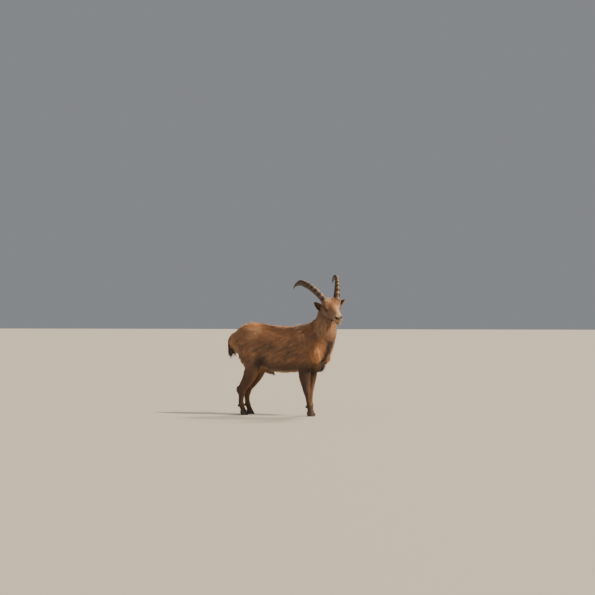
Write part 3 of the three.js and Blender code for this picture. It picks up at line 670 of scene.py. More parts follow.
def coat_markings_and_painted_light(p, n):
    """Colour of the coat at points p with outward directions n, with painted light and shade on some parts
    """
    x, y, z = p.T
    side, up = np.abs(y), n[:, 2]
    mottle = 0.6 * noise(p, 60, 1) + 0.4 * noise(p, 24, 2)
    streak = 0.6 * streaks(p, 15, 51) + 0.4 * streaks(p, 6, 53)
    c = layered(REDDISH, (GREYBROWN, within(0.52 + 0.45 * mottle - 0.5 * streak)))
    c = c * np.exp(0.42 * streak)[:, None]
    belly = ramp(up, -0.86, -0.98) * ramp(z, 450, 410) * ramp(np.abs(x - 20), 330, 250)
    flank_fold_shade = ramp(np.hypot((x + 128) / 80, (z - 470) / 100), 1.15, 0.35) * ramp(side, 60, 100)
    low_flank_shade = ramp(z, 520, 425) * ramp(x, -210, -90) * ramp(side, 40, 84) * within(0.9 + 0.5 * streak)
    shoulder = bump(z, 705, 105) * bump(x, 290, 105) * ramp(side, 40, 90) * within(0.8 + streak)
    rump = bump(x, -185, 100) * bump(z, 742, 52) * within(0.75 + 1.1 * noise(p, 17, 3))
    crest = bump(x, 205, 62) * ramp(z, 762, 784) * within(0.85 + 0.8 * noise(p, 18, 4))
    rear = ramp(x, -330, -420) * ramp(z, 380, 500) * within(0.9 + 0.7 * streak)
    groin = ramp(np.hypot((x + 205) / 130, (z - 412) / 52), 1.2, 0.4) * ramp(side, 92, 40)
    # Legs dark brown, with painted light: lighter on the side that faces forwards
    leg_lit_front = layered(DARK * 1.1, (REDDISH, 0.06 + 0.75 * ramp(n[:, 0], 0.1, 0.9)))
    leg_lit_front = leg_lit_front * np.exp(0.35 * streak)[:, None]
    legs = np.maximum(ramp(z, 400, 260) * (x > 60), ramp(z, 500, 320) * (x < -60))
    c = layered(
        c,
        (REDDISH * 1.35, 0.55 * ramp(z, 600, 720) * ramp(up, -0.1, 0.5)),  # saddle: painted light, the upper body lighter where it faces up
        (ORANGE, 0.8 * ramp(up, 0.35, 0.95) * ramp(z, 680, 760) * within(0.95 + 0.6 * mottle)),  # spine: painted light along the top of the back, where it faces up
        (TAN * 1.05, 0.9 * rump),
        (CREAM, 0.95 * crest),
        # painted shade along the low flank
        (DARK * 0.6, 0.88 * low_flank_shade),
        # painted shade in the fold of the flank
        (DARK * 0.7, 0.85 * flank_fold_shade),
        # painted shade on the top of the shoulder, dulling the light that falls there
        (GREYBROWN * 0.85, 0.6 * shoulder),
        (WHITE * (1.0, 0.84, 0.52), 0.85 * belly),
        (WHITE * (0.95, 0.74, 0.42), 0.85 * groin),
        (TAN * (1.0, 0.78, 0.6), 0.6 * rear),
        (leg_lit_front, 0.9 * legs),
        (DARK, 0.6 * ramp(z, 110, 60)),  # pasterns
    )

    # The breast is orange, with a painted highlight on its lit front
    lit = ramp(np.hypot((x - 425) / 80, (z - 560) / 105), 1.2, 0.4)
    across = np.abs(((p - (CHEST_PIVOT, 0, 0)) @ turned(CHEST_YAW))[:, 1])
    breast = (0.35 + 0.55 * lit) * ramp(x, 330, 400) * ramp(z, 730, 640) * ramp(across, 22, 50)
    neck_side_shade = bump(z, 745, 120) * bump(x, 385, 80) * ramp(side, 30, 60)
    tail = ramp(x, -455, -480)
    c = layered(
        c,
        (ORANGE, breast),
        (BLACKISH * 1.3, 0.94 * ramp(across, 34, 12) * ramp(z, 710, 650) * ramp(x, 340, 380)),  # groove: painted shade in the crease down the front of the chest
        (DARK * 0.6, 0.9 * ramp(x, 280, 360) * ramp(z, 455, 405)),  # brisket: painted shade under the chest
        (BLACKISH, 0.8 * ramp(x, 200, 330) * ramp(side, 60, 20) * ramp(z, 470, 420)),  # painted shade between the legs
        (TAN, 0.75 * ramp(z, 690, 790) * ramp(x, 350, 410) * within(0.75 + 1.1 * streak)),  # throat
        # painted shade on the side of the neck
        (GREYBROWN * 0.8, 0.75 * neck_side_shade * within(0.45 + 1.3 * streaks(p, 20, 55))),
        (REDDISH, tail),
        (BLACKISH, tail * ramp(z + 12 * noise(p, 12, 9), 668, 642)),
    )
    return layered(c, (head_markings_and_painted_light(p), head_share(p)))


def head_markings_and_painted_light(p):
    # The face's colours, with painted shade round the eyes, on the cheek and along the mouth, and painted
    # light on the bridge
    q = head_units(p)
    x, y, z = q.T
    face = layered(
        REDDISH * 0.78,
        (TAN * 0.9, 0.07 + 0.28 * noise(p, 26, 7) + 0.16 * noise(p, 8, 10)),
        (GREYBROWN * 1.1, 0.72 * ramp(z, -42, -84) * ramp(x, 145, 90)),  # cheek: grey-brown, with painted shade on the side of the face
        (TAN, 0.28 * ramp(x, 90, 150)),
        (ORANGE * 0.95, 0.5 * ramp(np.abs(y), 26, 10) * ramp(z, -45, -15) * ramp(x, 150, 60)),  # bridge: orange-brown, with painted light on the top of the forehead and nose
        (TAN * 1.1, 0.75 * forelock_share(q) * within(0.5 + 1.2 * noise(p, 11, 15))),
    )
    for at, axes in EYES.values():
        a, b, out = ((p - at) @ axes).T
        near = ramp(out, -4, 6)
        duct = bump(b + 4 + 0.3 * (a - 16), 0, 9) * ramp(a, 10, 18) * ramp(a, 60, 36)
        face = layered(
            face,
            (DARK, 0.85 * near * ramp(np.hypot(a / 35, b / 26), 1.3, 0.75)),  # ring: painted shade round the eye
            (DARK, 0.75 * near * duct),
            (DARK * 1.4, 0.7 * near * bump(a, -30, 40) * bump(b, -4, 34)),  # painted shade behind the eye
            (TAN, 0.6 * near * bump(b, 24, 11) * bump(a, 0, 34)),  # brow: painted highlight on the ridge above the eye
        )
    line = above_mouth(p)
    return layered(
        face,
        (CREAM * 0.9, 0.4 * ramp(x, 150, 176)),  # muzzle
        (BLACKISH * 1.5, 0.9 * ramp(x, 184, 194) * bump(z, -54, 26)),  # nose
        *((BLACKISH, ramp(from_nostril(q, s, (17, 10, 9)), 1.15, 0.75)) for s in SIDES),
        (WHITE, 0.65 * bump(line, 0, 14) * ramp(x, 125, 140)),  # lips
        # painted shade along the line between the lips
        (DARK, 0.95 * np.exp(-((line / 4.2) ** 2)) * ramp(x, 122, 130)),
        (TAN, 0.6 * ramp(z, -100, -112) * ramp(x, 120, 150)),  # chin
        (REDDISH, 0.8 * ramp(x, -40, -80)),  # poll
    )


def from_nostril(q, s, size):
    """1 on an oval round the nostril, and less inside it"""
    return np.linalg.norm((q - (190, s * 19, -51)) / size, axis=1)


# Ears: a leaf rolled into a cup that opens forwards and outwards
EAR_LONG = 103
EAR_WIDE = 25
EAR_RAISED = {-1: 45, 1: 34}  # degrees above level, right and left
EAR_THICK = 3.2
EAR_ROWS = 34
EAR_COLUMNS = 25
EAR_GAP = 0.9  # of the inner face from the cup's middle line


def ear_line(s):
    raised = math.radians(EAR_RAISED[s])
    along = CROWN_TURN @ unit([0.2, s * math.cos(raised), math.sin(raised)])
    return on_head(-58, s * 55, -98), along


def ear_sheets(s):
    """The inner and the outer face, in rows from root to tip"""
    root, along = ear_line(s)
    facing = CROWN_TURN @ unit([0.9, s * 0.3, -0.2])
    facing = unit(facing - along * (facing @ along))
    across = np.cross(along, facing) * s
    share = np.linspace(0, 1, EAR_ROWS)[:, None]
    side = np.linspace(-1, 1, EAR_COLUMNS)[None]
    wide = EAR_WIDE * np.sin(np.pi * (0.2 + 0.8 * share**0.85)).clip(0) ** 0.7 + 1.2
    roll = np.radians(112 - 62 * share)
    radius = wide / np.maximum(np.sin(np.minimum(roll, np.pi / 2)), 0.3)
    ripple = 0.8 * np.sin(side * 9 + 2) * (1 - share)

    def sheet(thick):
        r = radius + thick * (1 - 0.7 * np.abs(side) ** 3) + EAR_GAP + ripple * (thick == 0)
        a = roll * side
        centre = root + along * (EAR_LONG * share[..., None])
        sideways = across * (r * np.sin(a))[..., None]
        return centre + sideways + facing * (-r * np.cos(a) + 0.25 * wide)[..., None]

    return sheet(0), sheet(EAR_THICK)


def ear_mesh(s):
    points = np.vstack([sheet.reshape(-1, 3) for sheet in ear_sheets(s)])
    count = EAR_ROWS * EAR_COLUMNS
    grid = np.arange(count).reshape(EAR_ROWS, EAR_COLUMNS)
    front = np.stack([grid[:-1, :-1], grid[:-1, 1:], grid[1:, 1:], grid[1:, :-1]], -1).reshape(-1, 4)
    rim = np.concatenate([grid[0, :-1], grid[:-1, -1], grid[-1, :0:-1], grid[:0:-1, 0]])
    after = np.roll(rim, -1)
    edge = np.stack([rim, rim + count, after + count, after], 1)
    faces = np.vstack([front, front[:, ::-1] + count, edge])
    return points, faces[:, ::s]


def ear_colours(s, points):
    """Outside as the neck, inside painted dark as shade in the cup, with pale hair along the rim"""
    root, along = ear_line(s)
    share = within((points - root) @ along / EAR_LONG)
    side = np.tile(np.abs(np.linspace(-1, 1, EAR_COLUMNS)), EAR_ROWS)
    inner = np.concatenate([np.ones(len(side)), np.zeros(len(side))])
    side = np.tile(side, 2)
    return layered(
        REDDISH,
        (GREYBROWN, 0.3 + 0.4 * noise(points, 14, 8) + 0.2 * share),
        # painted shade inside the cup of the ear
        (GREYBROWN * 0.6, 0.9 * inner * ramp(side, 1.0, 0.72)),
        (TAN, 0.75 * inner * bump(side, 0.93, 0.12)),
    )


# The skin: one mesh from the net, made finer on the head, with both ears on it
HEAD_REACH = 190  # from the middle of the head
FINE_REACH = 44  # round each eye


def near_head(p):
    return away(p, HEAD_MIDDLE) < HEAD_REACH


def on_detail(p, margin=0):
    """Round the eyes and on the muzzle"""
    fine = in_head(p)[:, 0] > MOUTH_CORNER - 12 - margin
    for at, _ in EYES.values():
        fine |= away(p, at) < FINE_REACH + margin
    return fine & (away(p, HEAD_MIDDLE) < HEAD_REACH + 20)


def refine(mesh, chosen, moved, passes, most):
    """Cut the chosen faces in four, and settle the points that may be moved"""
    bm = bmesh.new()
    bm.from_mesh(mesh)
    bm.faces.ensure_lookup_table()
    cut = np.nonzero(chosen(read_places(mesh.polygons, "center")))[0]
    edges = list({e for i in cut for e in bm.faces[i].edges})
    bmesh.ops.subdivide_edges(bm, edges=edges, cuts=1, use_grid_fill=True)
    bmesh.ops.triangulate(bm, faces=[f for f in bm.faces if len(f.verts) > 4])
    bm.to_mesh(mesh)
    bm.free()
    points = read_places(mesh.vertices, "co")
    near = moved(points)
    points[near] = settled(skin_field, points[near], passes, most)
    write_points(mesh, points)


def skin_mesh():
    points, faces = surface_net()
    mesh = make_mesh("skin", settled(skin_field, points), faces)
    refine(mesh, near_head, near_head, 2, 3)
    refine(mesh, on_detail, lambda p: on_detail(p, 2), 3, 1.5)
    parts = [read_places(mesh.vertices, "co")]
    body_points = count = len(parts[0])
    loops = read(mesh.loops, "vertex_index", kind=np.int32)
    sizes = read(mesh.polygons, "loop_total", kind=np.int32)
    starts = np.concatenate([[0], np.cumsum(sizes)[:-1]])
    groups = [loops[starts[sizes == n][:, None] + np.arange(n)] for n in (3, 4)]
    bpy.data.meshes.remove(mesh)
    for s in SIDES:
        points, faces = ear_mesh(s)
        groups.append(faces + count)
        parts.append(points)
        count += len(points)
    return make_mesh("skin", np.vstack(parts), groups), body_points


def unwrap(piece):
    """A UV map of the skin's own shape, for baking"""
    bpy.context.view_layer.objects.active = piece
    piece.select_set(True)
    layer = piece.data.uv_layers.new(name="OFBake").name
    bpy.ops.object.mode_set(mode="EDIT")
    bpy.ops.mesh.select_all(action="SELECT")
    bpy.ops.uv.smart_project(angle_limit=math.radians(66), island_margin=0.002)
    bpy.ops.object.mode_set(mode="OBJECT")
    piece.select_set(False)
    return read(piece.data.uv_layers[layer].data, "uv", 2).astype(float)


# The coat's lie and length
def lie_of(p, n):
    """Direction of the hair, along the skin"""
    x, _, z = p.T
    q = head_units(p)
    v = np.tile([-1.0, 0.0, -0.55], (len(p), 1))
    v[:, 2] -= 0.6 * ramp(z, 620, 450) * (np.abs(n[:, 2]) < 0.8)
    down_face = -0.5 * ramp(q[:, 2], -55, -85) * ramp(q[:, 0], 120, 40)
    face = HEAD_TURN @ (-1.0, 0, 0) + np.outer(down_face, HEAD_TURN[:, 2])
    tail = ramp(x, -450, -470)
    v = layered(
        v,
        ((-0.45, 0, -1.0), ramp(x, -180, -260) * ramp(z, 720, 600)),  # thigh
        ((-0.45, 0, -1.0), ramp(x, 180, 260) * ramp(z, 720, 620)),  # shoulder
        ((-0.38, -0.08, -0.95), ramp(x + 0.55 * (z - 700), 300, 400) * ramp(z, 640, 740)),  # neck
        ((0.0, 0, -1.0), ramp(x, 350, 420) * ramp(z, 760, 680)),  # chest
        ((-0.12, 0, -1.0), leg_share(p)),
        ((-1.0, 0, 0.0), ramp(n[:, 2], -0.6, -0.9) * ramp(z, 480, 440)),  # belly
        ((0.06, 0, -1.0), tail),
        (face, head_share(p)),
        (CROWN_TURN @ (-0.2, 0.0, 1.0), 0.8 * horn_share(p)),
    )
    swirl = np.radians(16 * noise(p, 70, 11) + 12 * noise(p, 24, 12))[:, None]
    v = unit(v - n * (v * n).sum(1)[:, None])
    v = v * np.cos(swirl) + np.cross(n, v) * np.sin(swirl)
    hanging = (0.14, 0, -1.0) + 0.1 * n * (1, 1, 0)
    return unit(layered(v, (hanging, 0.85 * tail)))


def hair_of(p):
    """Spacing, length, width and lift of the tufts at points of the skin"""
    head, leg = head_share(p), leg_share(p)
    x, _, z = p.T
    q = head_units(p)

    def mixed(trunk, on_leg, on_face):
        return (trunk + (on_leg - trunk) * leg) * (1 - head) + on_face * head

    neck = ramp(z, 700, 780) * ramp(x, 330, 390) * (1 - head)
    brisket = ramp(x, 330, 390) * ramp(z, 470, 410) * (1 - leg)
    muzzle = ramp(q[:, 0], 60, 150) * head
    forelock = head * forelock_share(q)
    crown = head * horn_share(p)
    tail = ramp(x, -455, -480)
    length = mixed(27, 12, 10) + 12 * neck * (0.6 + 0.5 * noise(p, 40, 13)) + 10 * brisket - 5.2 * muzzle
    length = length + 10 * forelock + 4 * crown - 3 * ramp(z, 150, 60)
    length = length + tail * (8 + 66 * ramp(z, 670, 625) * (0.8 + 0.3 * noise(p, 9, 14)))
    width = mixed(2.7, 1.9, 1.5) - 0.4 * muzzle
    spacing = mixed(2.95, 2.6, 1.9) - 0.45 * muzzle
    lift = mixed(0.32, 0.2, 0.24) + 0.16 * forelock + 0.12 * crown - 0.26 * tail
    for at, _ in EYES.values():
        near = ramp(away(p, at), 46, 24)
        length = length * (1 - 0.6 * near)
        width = width * (1 - 0.4 * near)
    width = width + 0.8 * forelock + 1.2 * tail
    clump = streaks(p, 12, 57) * (1 - head) * (1 - 0.6 * leg)
    return spacing, length * (1 + 0.42 * clump), width, lift * (1 + 0.75 * clump)


def bare(p):
    """1 where the skin has no tufts: nose, nostrils, lips and lids"""
    q = head_units(p)
    out = ramp(q[:, 0], 187, 193) * ramp(q[:, 2], -78, -70)
    out = np.maximum(out, (np.abs(above_mouth(p)) < 3.2) & (in_head(p)[:, 0] > MOUTH_CORNER - 8))
    for at, axes in EYES.values():
        a, b, c = ((p - at) @ axes).T
        out = np.maximum(out, (np.hypot(a / 19, b / 13.5) < 1) & (c > 0))
    for s in SIDES:
        out = np.maximum(out, from_nostril(q, s, (14, 8, 8)) < 1)
    return out


def spread(mesh, rng, density):
    """Roots laid evenly over the skin: their triangles' corners and loops, and the corners' weights"""
    mesh.calc_loop_triangles()
    triangles = mesh.loop_triangles
    corners, loops = (read(triangles, name, 3, np.int32) for name in ("vertices", "loops"))
    total = np.cumsum(read(triangles, "area") * 1e6 * density[corners].mean(1))
    number = int(total[-1])
    marks = np.arange(number) + rng.random(number)
    at = np.minimum(np.searchsorted(total, marks), len(triangles) - 1)
    u, v = rng.random((2, number))
    flip = u + v > 1
    u, v = np.where(flip, 1 - u, u), np.where(flip, 1 - v, v)
    return corners[at], loops[at], np.stack([1 - u - v, u, v], 1)


def gathered(values, corners, weights):
    return np.einsum("ijk,ij->ik", values[corners], weights)


BLADE = ((0.0, 0.75), (0.4, 1.0), (0.75, 0.62))  # share of the length, share of the width
TUFTS_PER_PIECE = 39000
SINK = 0.035  # of its length, below the skin
SWAY = 0.12  # of its length, to either side
ROLL = 0.45  # radians about its length
TONE = 0.16  # unevenness of the shade, and below of the length and the lift
RAGGED = 0.18
RUFFLED = 0.35
PATCH = 0.003  # size of a tuft on the unwrap
SEED = 5
EAR_SPACING = 1.9
EAR_HAIR = (9.5, 1.3, 0.25)  # length, width and lift


def tuft_piece(name, material, roots, normals, lie, length, width, lift, colours, uv, rng):
    """Flat tapered blades that follow the lie, in one mesh"""
    n = len(roots)
    side = unit(np.cross(normals, lie))
    roll = rng.normal(0, ROLL, n)[:, None]
    across = side * np.cos(roll) + normals * np.sin(roll)
    sway = rng.normal(0, SWAY, n)[:, None]
    length, width, lift = length[:, None], width[:, None], lift[:, None]
    points, shade, patch = [], [], []
    for u, w in BLADE + ((1.0, 0.0),):
        rise = (lift * (u - 0.5 * u * u) - SINK) * length
        middle = roots + lie * (u * length * (1 - 0.25 * lift)) + normals * rise
        middle = middle + side * (sway * u * u * length)
        for edge in ((-0.5, 0.5) if w else (0,)):
            points.append(middle + across * (edge * w * width))
            shade.append(u)
            patch.append((edge * w, u - 0.5))
    per = len(points)
    first = per * np.arange(n)[:, None]
    quads = [first + np.array([2 * k, 2 * k + 2, 2 * k + 3, 2 * k + 1]) for k in range(len(BLADE) - 1)]
    tips = first + np.array([per - 3, per - 1, per - 2])
    mesh = make_mesh(name, np.stack(points, 1).reshape(-1, 3), [np.vstack(quads), tips])
    shade = np.array(shade)[None, :, None]
    tone = np.exp(rng.normal(0, TONE, (n, 1, 1)))
    paint(mesh, (colours[:, None, :] * (0.7 + 0.5 * shade) * tone).reshape(-1, 3))
    spots = (uv[:, None, :] + PATCH * np.array(patch)[None]).reshape(-1, 2)
    vertex_of = read(mesh.loops, "vertex_index", kind=np.int32)
    layer = mesh.uv_layers.new(name="OFBake")
    layer.data.foreach_set("uv", spots[vertex_of].astype(np.float32).ravel())
    blade = unit(np.cross(lie, across))
    blade = blade * np.sign((blade * normals).sum(1))[:, None]
    facing = unit(normals * 0.8 + blade * 0.35 + lie * 0.1)
    mesh.normals_split_custom_set_from_vertices(np.repeat(facing, per, 0).astype(np.float32))
    return place(mesh, material)


# Materials
def new_material(name):
    material = bpy.data.materials.new(name)
    material.use_nodes = True
    return material, material.node_tree, material.node_tree.nodes["Principled BSDF"]


def set_inputs(node, values):
    for name, value in values.items():
        node.inputs[name].default_value = value


STRETCH = {"hoof": (1, 1, 0.15)}  # of the grain, where it isn't even


def painted_material(name, roughness, scale, amount, bump_height, **shader_inputs):
    """The painted colour, mottled by noise, with a fine bump"""
    material, tree, shader = new_material(name)

    def add(kind, **values):
        node = tree.nodes.new("ShaderNode" + kind)
        set_inputs(node, {name.replace("_", " "): value for name, value in values.items()})
        return node

    attribute = add("Attribute")
    attribute.attribute_name = "Colour"
    coordinate = add("TexCoord")
    mapping = add("Mapping", Scale=STRETCH.get(name, (1, 1, 1)))
    grain = add("TexNoise", Scale=scale, Detail=6)
    tone = add("MapRange", From_Min=0.3, From_Max=0.7, To_Min=1 - amount, To_Max=1 + amount)
    mix = add("VectorMath")
    mix.operation = "SCALE"
    rough = add("MapRange", To_Min=roughness - 0.08, To_Max=roughness + 0.08)
    links = [
        (coordinate, "Object", mapping, "Vector"),
        (mapping, "Vector", grain, "Vector"),
        (grain, "Fac", tone, "Value"),
        (attribute, "Color", mix, 0),
        (tone, "Result", mix, "Scale"),
        (mix, "Vector", shader, "Base Color"),
        (grain, "Fac", rough, "Value"),
        (rough, "Result", shader, "Roughness"),
    ]
    if bump_height:
        relief = add("Bump", Strength=0.6, Distance=bump_height / 1000)
        links += [(grain, "Fac", relief, "Height"), (relief, "Normal", shader, "Normal")]
    for start, output, end, socket in links:
        tree.links.new(start.outputs[output], end.inputs[socket])
    set_inputs(shader, {"Sheen Roughness": 0.5, **shader_inputs})
    return material


skin_material = painted_material("skin", 0.85, 260, 0.22, 0.8, **{"Sheen Weight": 0.1})
coat_material = painted_material("coat", 0.62, 900, 0.12, 0, **{"Sheen Weight": 0.25})
horn_material = painted_material("horn", 0.55, 90, 0.25, 0.7)
hoof_material = painted_material("hoof", 0.42, 220, 0.3, 0.4)
eye_material = painted_material("eye", 0.16, 400, 0.15, 0, **{"Specular IOR Level": 0.3})

# Skin
FLESH_NODES = ["head", "neck", "torso", "tail", "ear_left", "ear_right"]
FLESH_NODES += ["leg_" + name for name in LEGS]
UNDER_COAT_SHADE = 0.62  # painted shade: the skin darker below the coat, under the hair
mesh, body_points = skin_mesh()
points = read_places(mesh.vertices, "co")
normals = read(mesh.vertex_normals, "vector", 3).astype(float)
body = slice(0, body_points)
per_ear = (len(points) - body_points) // 2
ears = [points[body_points + k * per_ear:][:per_ear] for k in (0, 1)]
colours = np.vstack([coat_markings_and_painted_light(points[body], normals[body]), *map(ear_colours, SIDES, ears)])
bare_skin = np.zeros(len(points))
bare_skin[body] = bare(points[body])
paint(mesh, colours * (UNDER_COAT_SHADE + (1 - UNDER_COAT_SHADE) * bare_skin)[:, None])
skin = place(mesh, skin_material, *FLESH_NODES)
skin_uv = unwrap(skin)

# Coat
rng = np.random.default_rng(SEED)
spacing = hair_of(points)[0]
spacing[body_points:] = EAR_SPACING
corners, loops, weights = spread(mesh, rng, (1 - bare_skin) / spacing**2)
roots = gathered(points, corners, weights)
root_normals = unit(gathered(normals, corners, weights))
root_colours = gathered(colours, corners, weights)
root_uv = gathered(skin_uv, loops, weights)
_, length, width, lift = hair_of(roots)
ragged = np.exp(rng.normal(0, RAGGED, len(roots)))
lift = lift * np.exp(rng.normal(0, RUFFLED, len(roots)))
lie = lie_of(roots, root_normals)
ear_part = corners[:, 0] >= body_points
length[ear_part], width[ear_part], lift[ear_part] = EAR_HAIR
for s in SIDES:
    own = ear_part & (np.sign(roots[:, 1]) == s)
    _, along = ear_line(s)
    lie[own] = unit(along - root_normals[own] * (root_normals[own] @ along)[:, None])
head_part = (head_share(roots) > 0.5) & ~ear_part
leg_part = leg_share(roots) > 0.5
left_part = roots[:, 1] > 0
parts = {
    "ears": ear_part,
    "head": head_part,
    "legs_front": leg_part & (roots[:, 0] > 0),
    "legs_hind": leg_part & (roots[:, 0] <= 0),
}
trunk_part = ~head_part & ~leg_part & ~ear_part
for name, low, high in (("neck", 250, 1000), ("flank", -250, 250), ("rump", -1000, -250)):
    where = (roots[:, 0] > low) & (roots[:, 0] <= high)
    parts[name + "_left"] = trunk_part & where & left_part
    parts[name + "_right"] = trunk_part & where & ~left_part
for name, chosen in parts.items():
    chosen = np.nonzero(chosen)[0]
    pieces = math.ceil(len(chosen) / TUFTS_PER_PIECE)
    for number in range(pieces):
        own = chosen[number::pieces]
        label = "coat_" + name + ("_" + str(number + 1) if pieces > 1 else "")
        tuft_piece(
            label, coat_material, roots[own], root_normals[own], lie[own], (length * ragged)[own],
            width[own], lift[own], root_colours[own], root_uv[own], rng,
        )


# Horns: a curved taper with knobs across its front
HORN_PATH = [
    (14, -16, -62), (0, 0, 0), (-55, 40, 80), (-123, 74, 137), (-188, 100, 170),
    (-248, 111, 182), (-330, 121, 174), (-380, 128, 157), (-413, 132, 134),
]
HORN_RINGS = 300
HORN_AROUND = 40
# The knobs' crests lighter and the valleys between them darker: partly the horn's own tone, partly a painted
# highlight on the crests and painted shade in the valleys
KNOB_COLOUR = np.array([0.19, 0.105, 0.056])
HORN_COLOUR = np.array([0.050, 0.028, 0.018])
VALLEY_COLOUR = np.array([0.016, 0.010, 0.008])
KNOBS = 10
FIRST_KNOB, LAST_KNOB = 0.07, 0.8  # shares of the horn
KNOB_HEIGHT = 0.2
KNOB_PROFILE = ((0.0, 0.0), (0.14, 0.8), (0.26, 1.0), (0.46, 0.92), (0.64, 0.55), (0.8, 0.08))


def knobs_along(share):
    """Height of the knobs along the horn, from 0 to 1"""
    starts = FIRST_KNOB + (LAST_KNOB - FIRST_KNOB) * (1 - (1 - np.arange(KNOBS + 1) / KNOBS) ** 1.25)
    stops, heights = [0.0, 0.05], [0.0, 0.0]
    for i, (start, pitch) in enumerate(zip(starts, np.diff(starts))):
        for step, tall in KNOB_PROFILE:
            stops.append(start + step * pitch)
            heights.append(tall * (1 - 0.4 * i / KNOBS))
    return np.interp(share, stops + [LAST_KNOB, 1.0], heights + [0.0, 0.0])


def horn_mesh(s):
    root = on_head(-22, s * 48, -6)
    places = [CROWN_TURN @ np.array([x, s * y, z], float) + root for x, y, z in HORN_PATH]
    dense = catmull(places, np.linspace(0, 1, 900), even=False)
    run = np.concatenate([[0], np.cumsum(np.linalg.norm(np.diff(dense, axis=0), axis=1))])
    share = np.linspace(0, 1, HORN_RINGS)
    at = np.stack([np.interp(share * run[-1], run, dense[:, a]) for a in range(3)], 1)
    along = unit(np.gradient(at, axis=0))
    outward = CROWN_TURN @ unit([-0.3, s, 0.1])
    side = unit(outward - along * (along @ outward)[:, None])
    front = np.cross(side, along) * s
    share = share[:, None]
    knob = knobs_along(share)
    deep = HORN_WIDTHS[0] * np.maximum(1 - share**2.6, 0.03) ** 0.75
    wide = HORN_WIDTHS[1] * np.maximum(1 - share, 0.012) ** 0.6
    angle = angles(HORN_AROUND)[None] * s
    ahead = within(np.cos(angle))
    wobble = 1 + 0.10 * np.sin(3 * angle + 9 * share) * knob
    rings = 0.008 * np.sin(share * 260 + 1.5 * np.cos(angle))
    u = deep * np.cos(angle) * (1 + KNOB_HEIGHT * knob * ahead**0.8 * wobble + rings)
    v = wide * np.sin(angle) * (1 + 0.1 * np.cos(angle)) * (1 + 0.4 * KNOB_HEIGHT * knob * ahead + rings)
    rows = at[:, None] + front[:, None] * u[..., None] + side[:, None] * v[..., None]
    points = rows.reshape(-1, 3)
    mesh = make_mesh("horn_sheath_" + SIDE_NAMES[s], points, list(lofted(rows)))
    # painted shade in the valleys between the knobs and a painted highlight on their crests, over the horn's
    # own tone
    valley = (1 - ramp(knob, 0.0, 0.35)) * bump(share, 0.42, 0.5) * (0.15 + 0.85 * ahead)
    c = layered(
        HORN_COLOUR,
        (KNOB_COLOUR, (0.95 * ramp(knob, 0.45, 0.95) * ahead**1.2).ravel()),
        (VALLEY_COLOUR, within(0.95 * valley).ravel()),
        (VALLEY_COLOUR * 1.3, np.repeat(ramp(share, 0.84, 0.97), HORN_AROUND)),
    )
    lines = np.sin(share * 520 + 2.5 * np.cos(angle) + 3 * noise(points, 30, 22).reshape(u.shape)).ravel()
    grain = 1 + 0.3 * noise(points, 10, 21) + 0.2 * noise(points, 3.5, 23)
    paint(mesh, c * (grain * (0.85 - 0.15 * lines))[:, None])
    return mesh


for s in SIDES:
    place(horn_mesh(s), horn_material, "horn_" + SIDE_NAMES[s])


# Hooves: two claws to a foot, and the two small claws behind the pastern
CLAW_LONG = 31
CLAW_WIDE = 11.5
CLAW_LEAN = 0.42
CLAW_RINGS = 14
CLAW_AROUND = 36
CLAW_SPREAD = 13  # from the middle of the foot
DEWCLAW_SIZE = (8.5, 7.5, 13)
DEWCLAW_HEIGHT = 84


def claw_points(foot_x, y, outward):
    """Rings of a claw that leans back, up to the slope of the coronet"""
    angle = angles(CLAW_AROUND)
    toe = within(np.cos(angle))
    wide = CLAW_WIDE * (1 - 0.45 * toe**2) * np.where(-outward * np.sin(angle) > 0, 0.82, 1.0)
    rows = []
    for v in np.linspace(0, 1, CLAW_RINGS):
        z = np.full(CLAW_AROUND, 30.0) * v
        for _ in range(6):
            long = CLAW_LONG * (1 - 0.12 * z / 24) + 3 * toe**20
            x = 6 - CLAW_LEAN * z + long * np.cos(angle)
            z = v * (CORONET_HEIGHT + CORONET_SLOPE * (x + 4) + 1.5)
        middle = 6 - CLAW_LEAN * z
        round_off = 1 - 0.05 * np.exp(-z / 2.0)
        ahead = foot_x + 4 + middle + (x - middle) * round_off
        rows.append(np.stack([ahead, y + wide * np.sin(angle) * round_off, z], 1))
    return np.array(rows)


def dewclaw_points(x, y):
    rows = ball(np.linspace(0.96, 0.04, 9), angles(16)) * DEWCLAW_SIZE
    return rows @ turned(0, 28).T + (x, y, DEWCLAW_HEIGHT)


def hoof_piece(name, s, foot_x, pastern):
    points, quads, fans, count = [], [], [], 0
    shapes = [claw_points(foot_x, s * LEG_SPREAD + side * CLAW_SPREAD, side) for side in SIDES]
    shapes += [dewclaw_points(pastern - 24, s * LEG_SPREAD + side * CLAW_SPREAD) for side in SIDES]
    for rows in shapes:
        q, f = lofted(rows)
        points.append(rows.reshape(-1, 3))
        quads.append(q + count)
        fans.append(f + count)
        count += len(points[-1])
    points = np.vstack(points)
    mesh = make_mesh("claws_" + name, points, [np.vstack(quads), np.vstack(fans)])
    c = np.array([0.045, 0.034, 0.028]) * (1 + 0.5 * noise(points * (1, 1, 0.12), 3.5, 31))[:, None]
    paint(mesh, layered(c, ((0.12, 0.09, 0.065), 0.5 * ramp(points[:, 2], 10, 0))))
    return place(mesh, hoof_material, "hoof_" + name + "_outer", "hoof_" + name + "_inner")


for name, (rows, s, x, knee, foot) in LEGS.items():
    if rows is FRONT:
        hoof_piece(name, s, x + foot, x + 0.22 * knee + 0.78 * foot)
    else:
        hoof_piece(name, s, x + foot + 26, x + foot + 6)

# Eyes: a ball with an iris and a level, oblong pupil
IRIS = 11.8  # radius
PUPIL = (8.6, 4.4)  # half length and half height


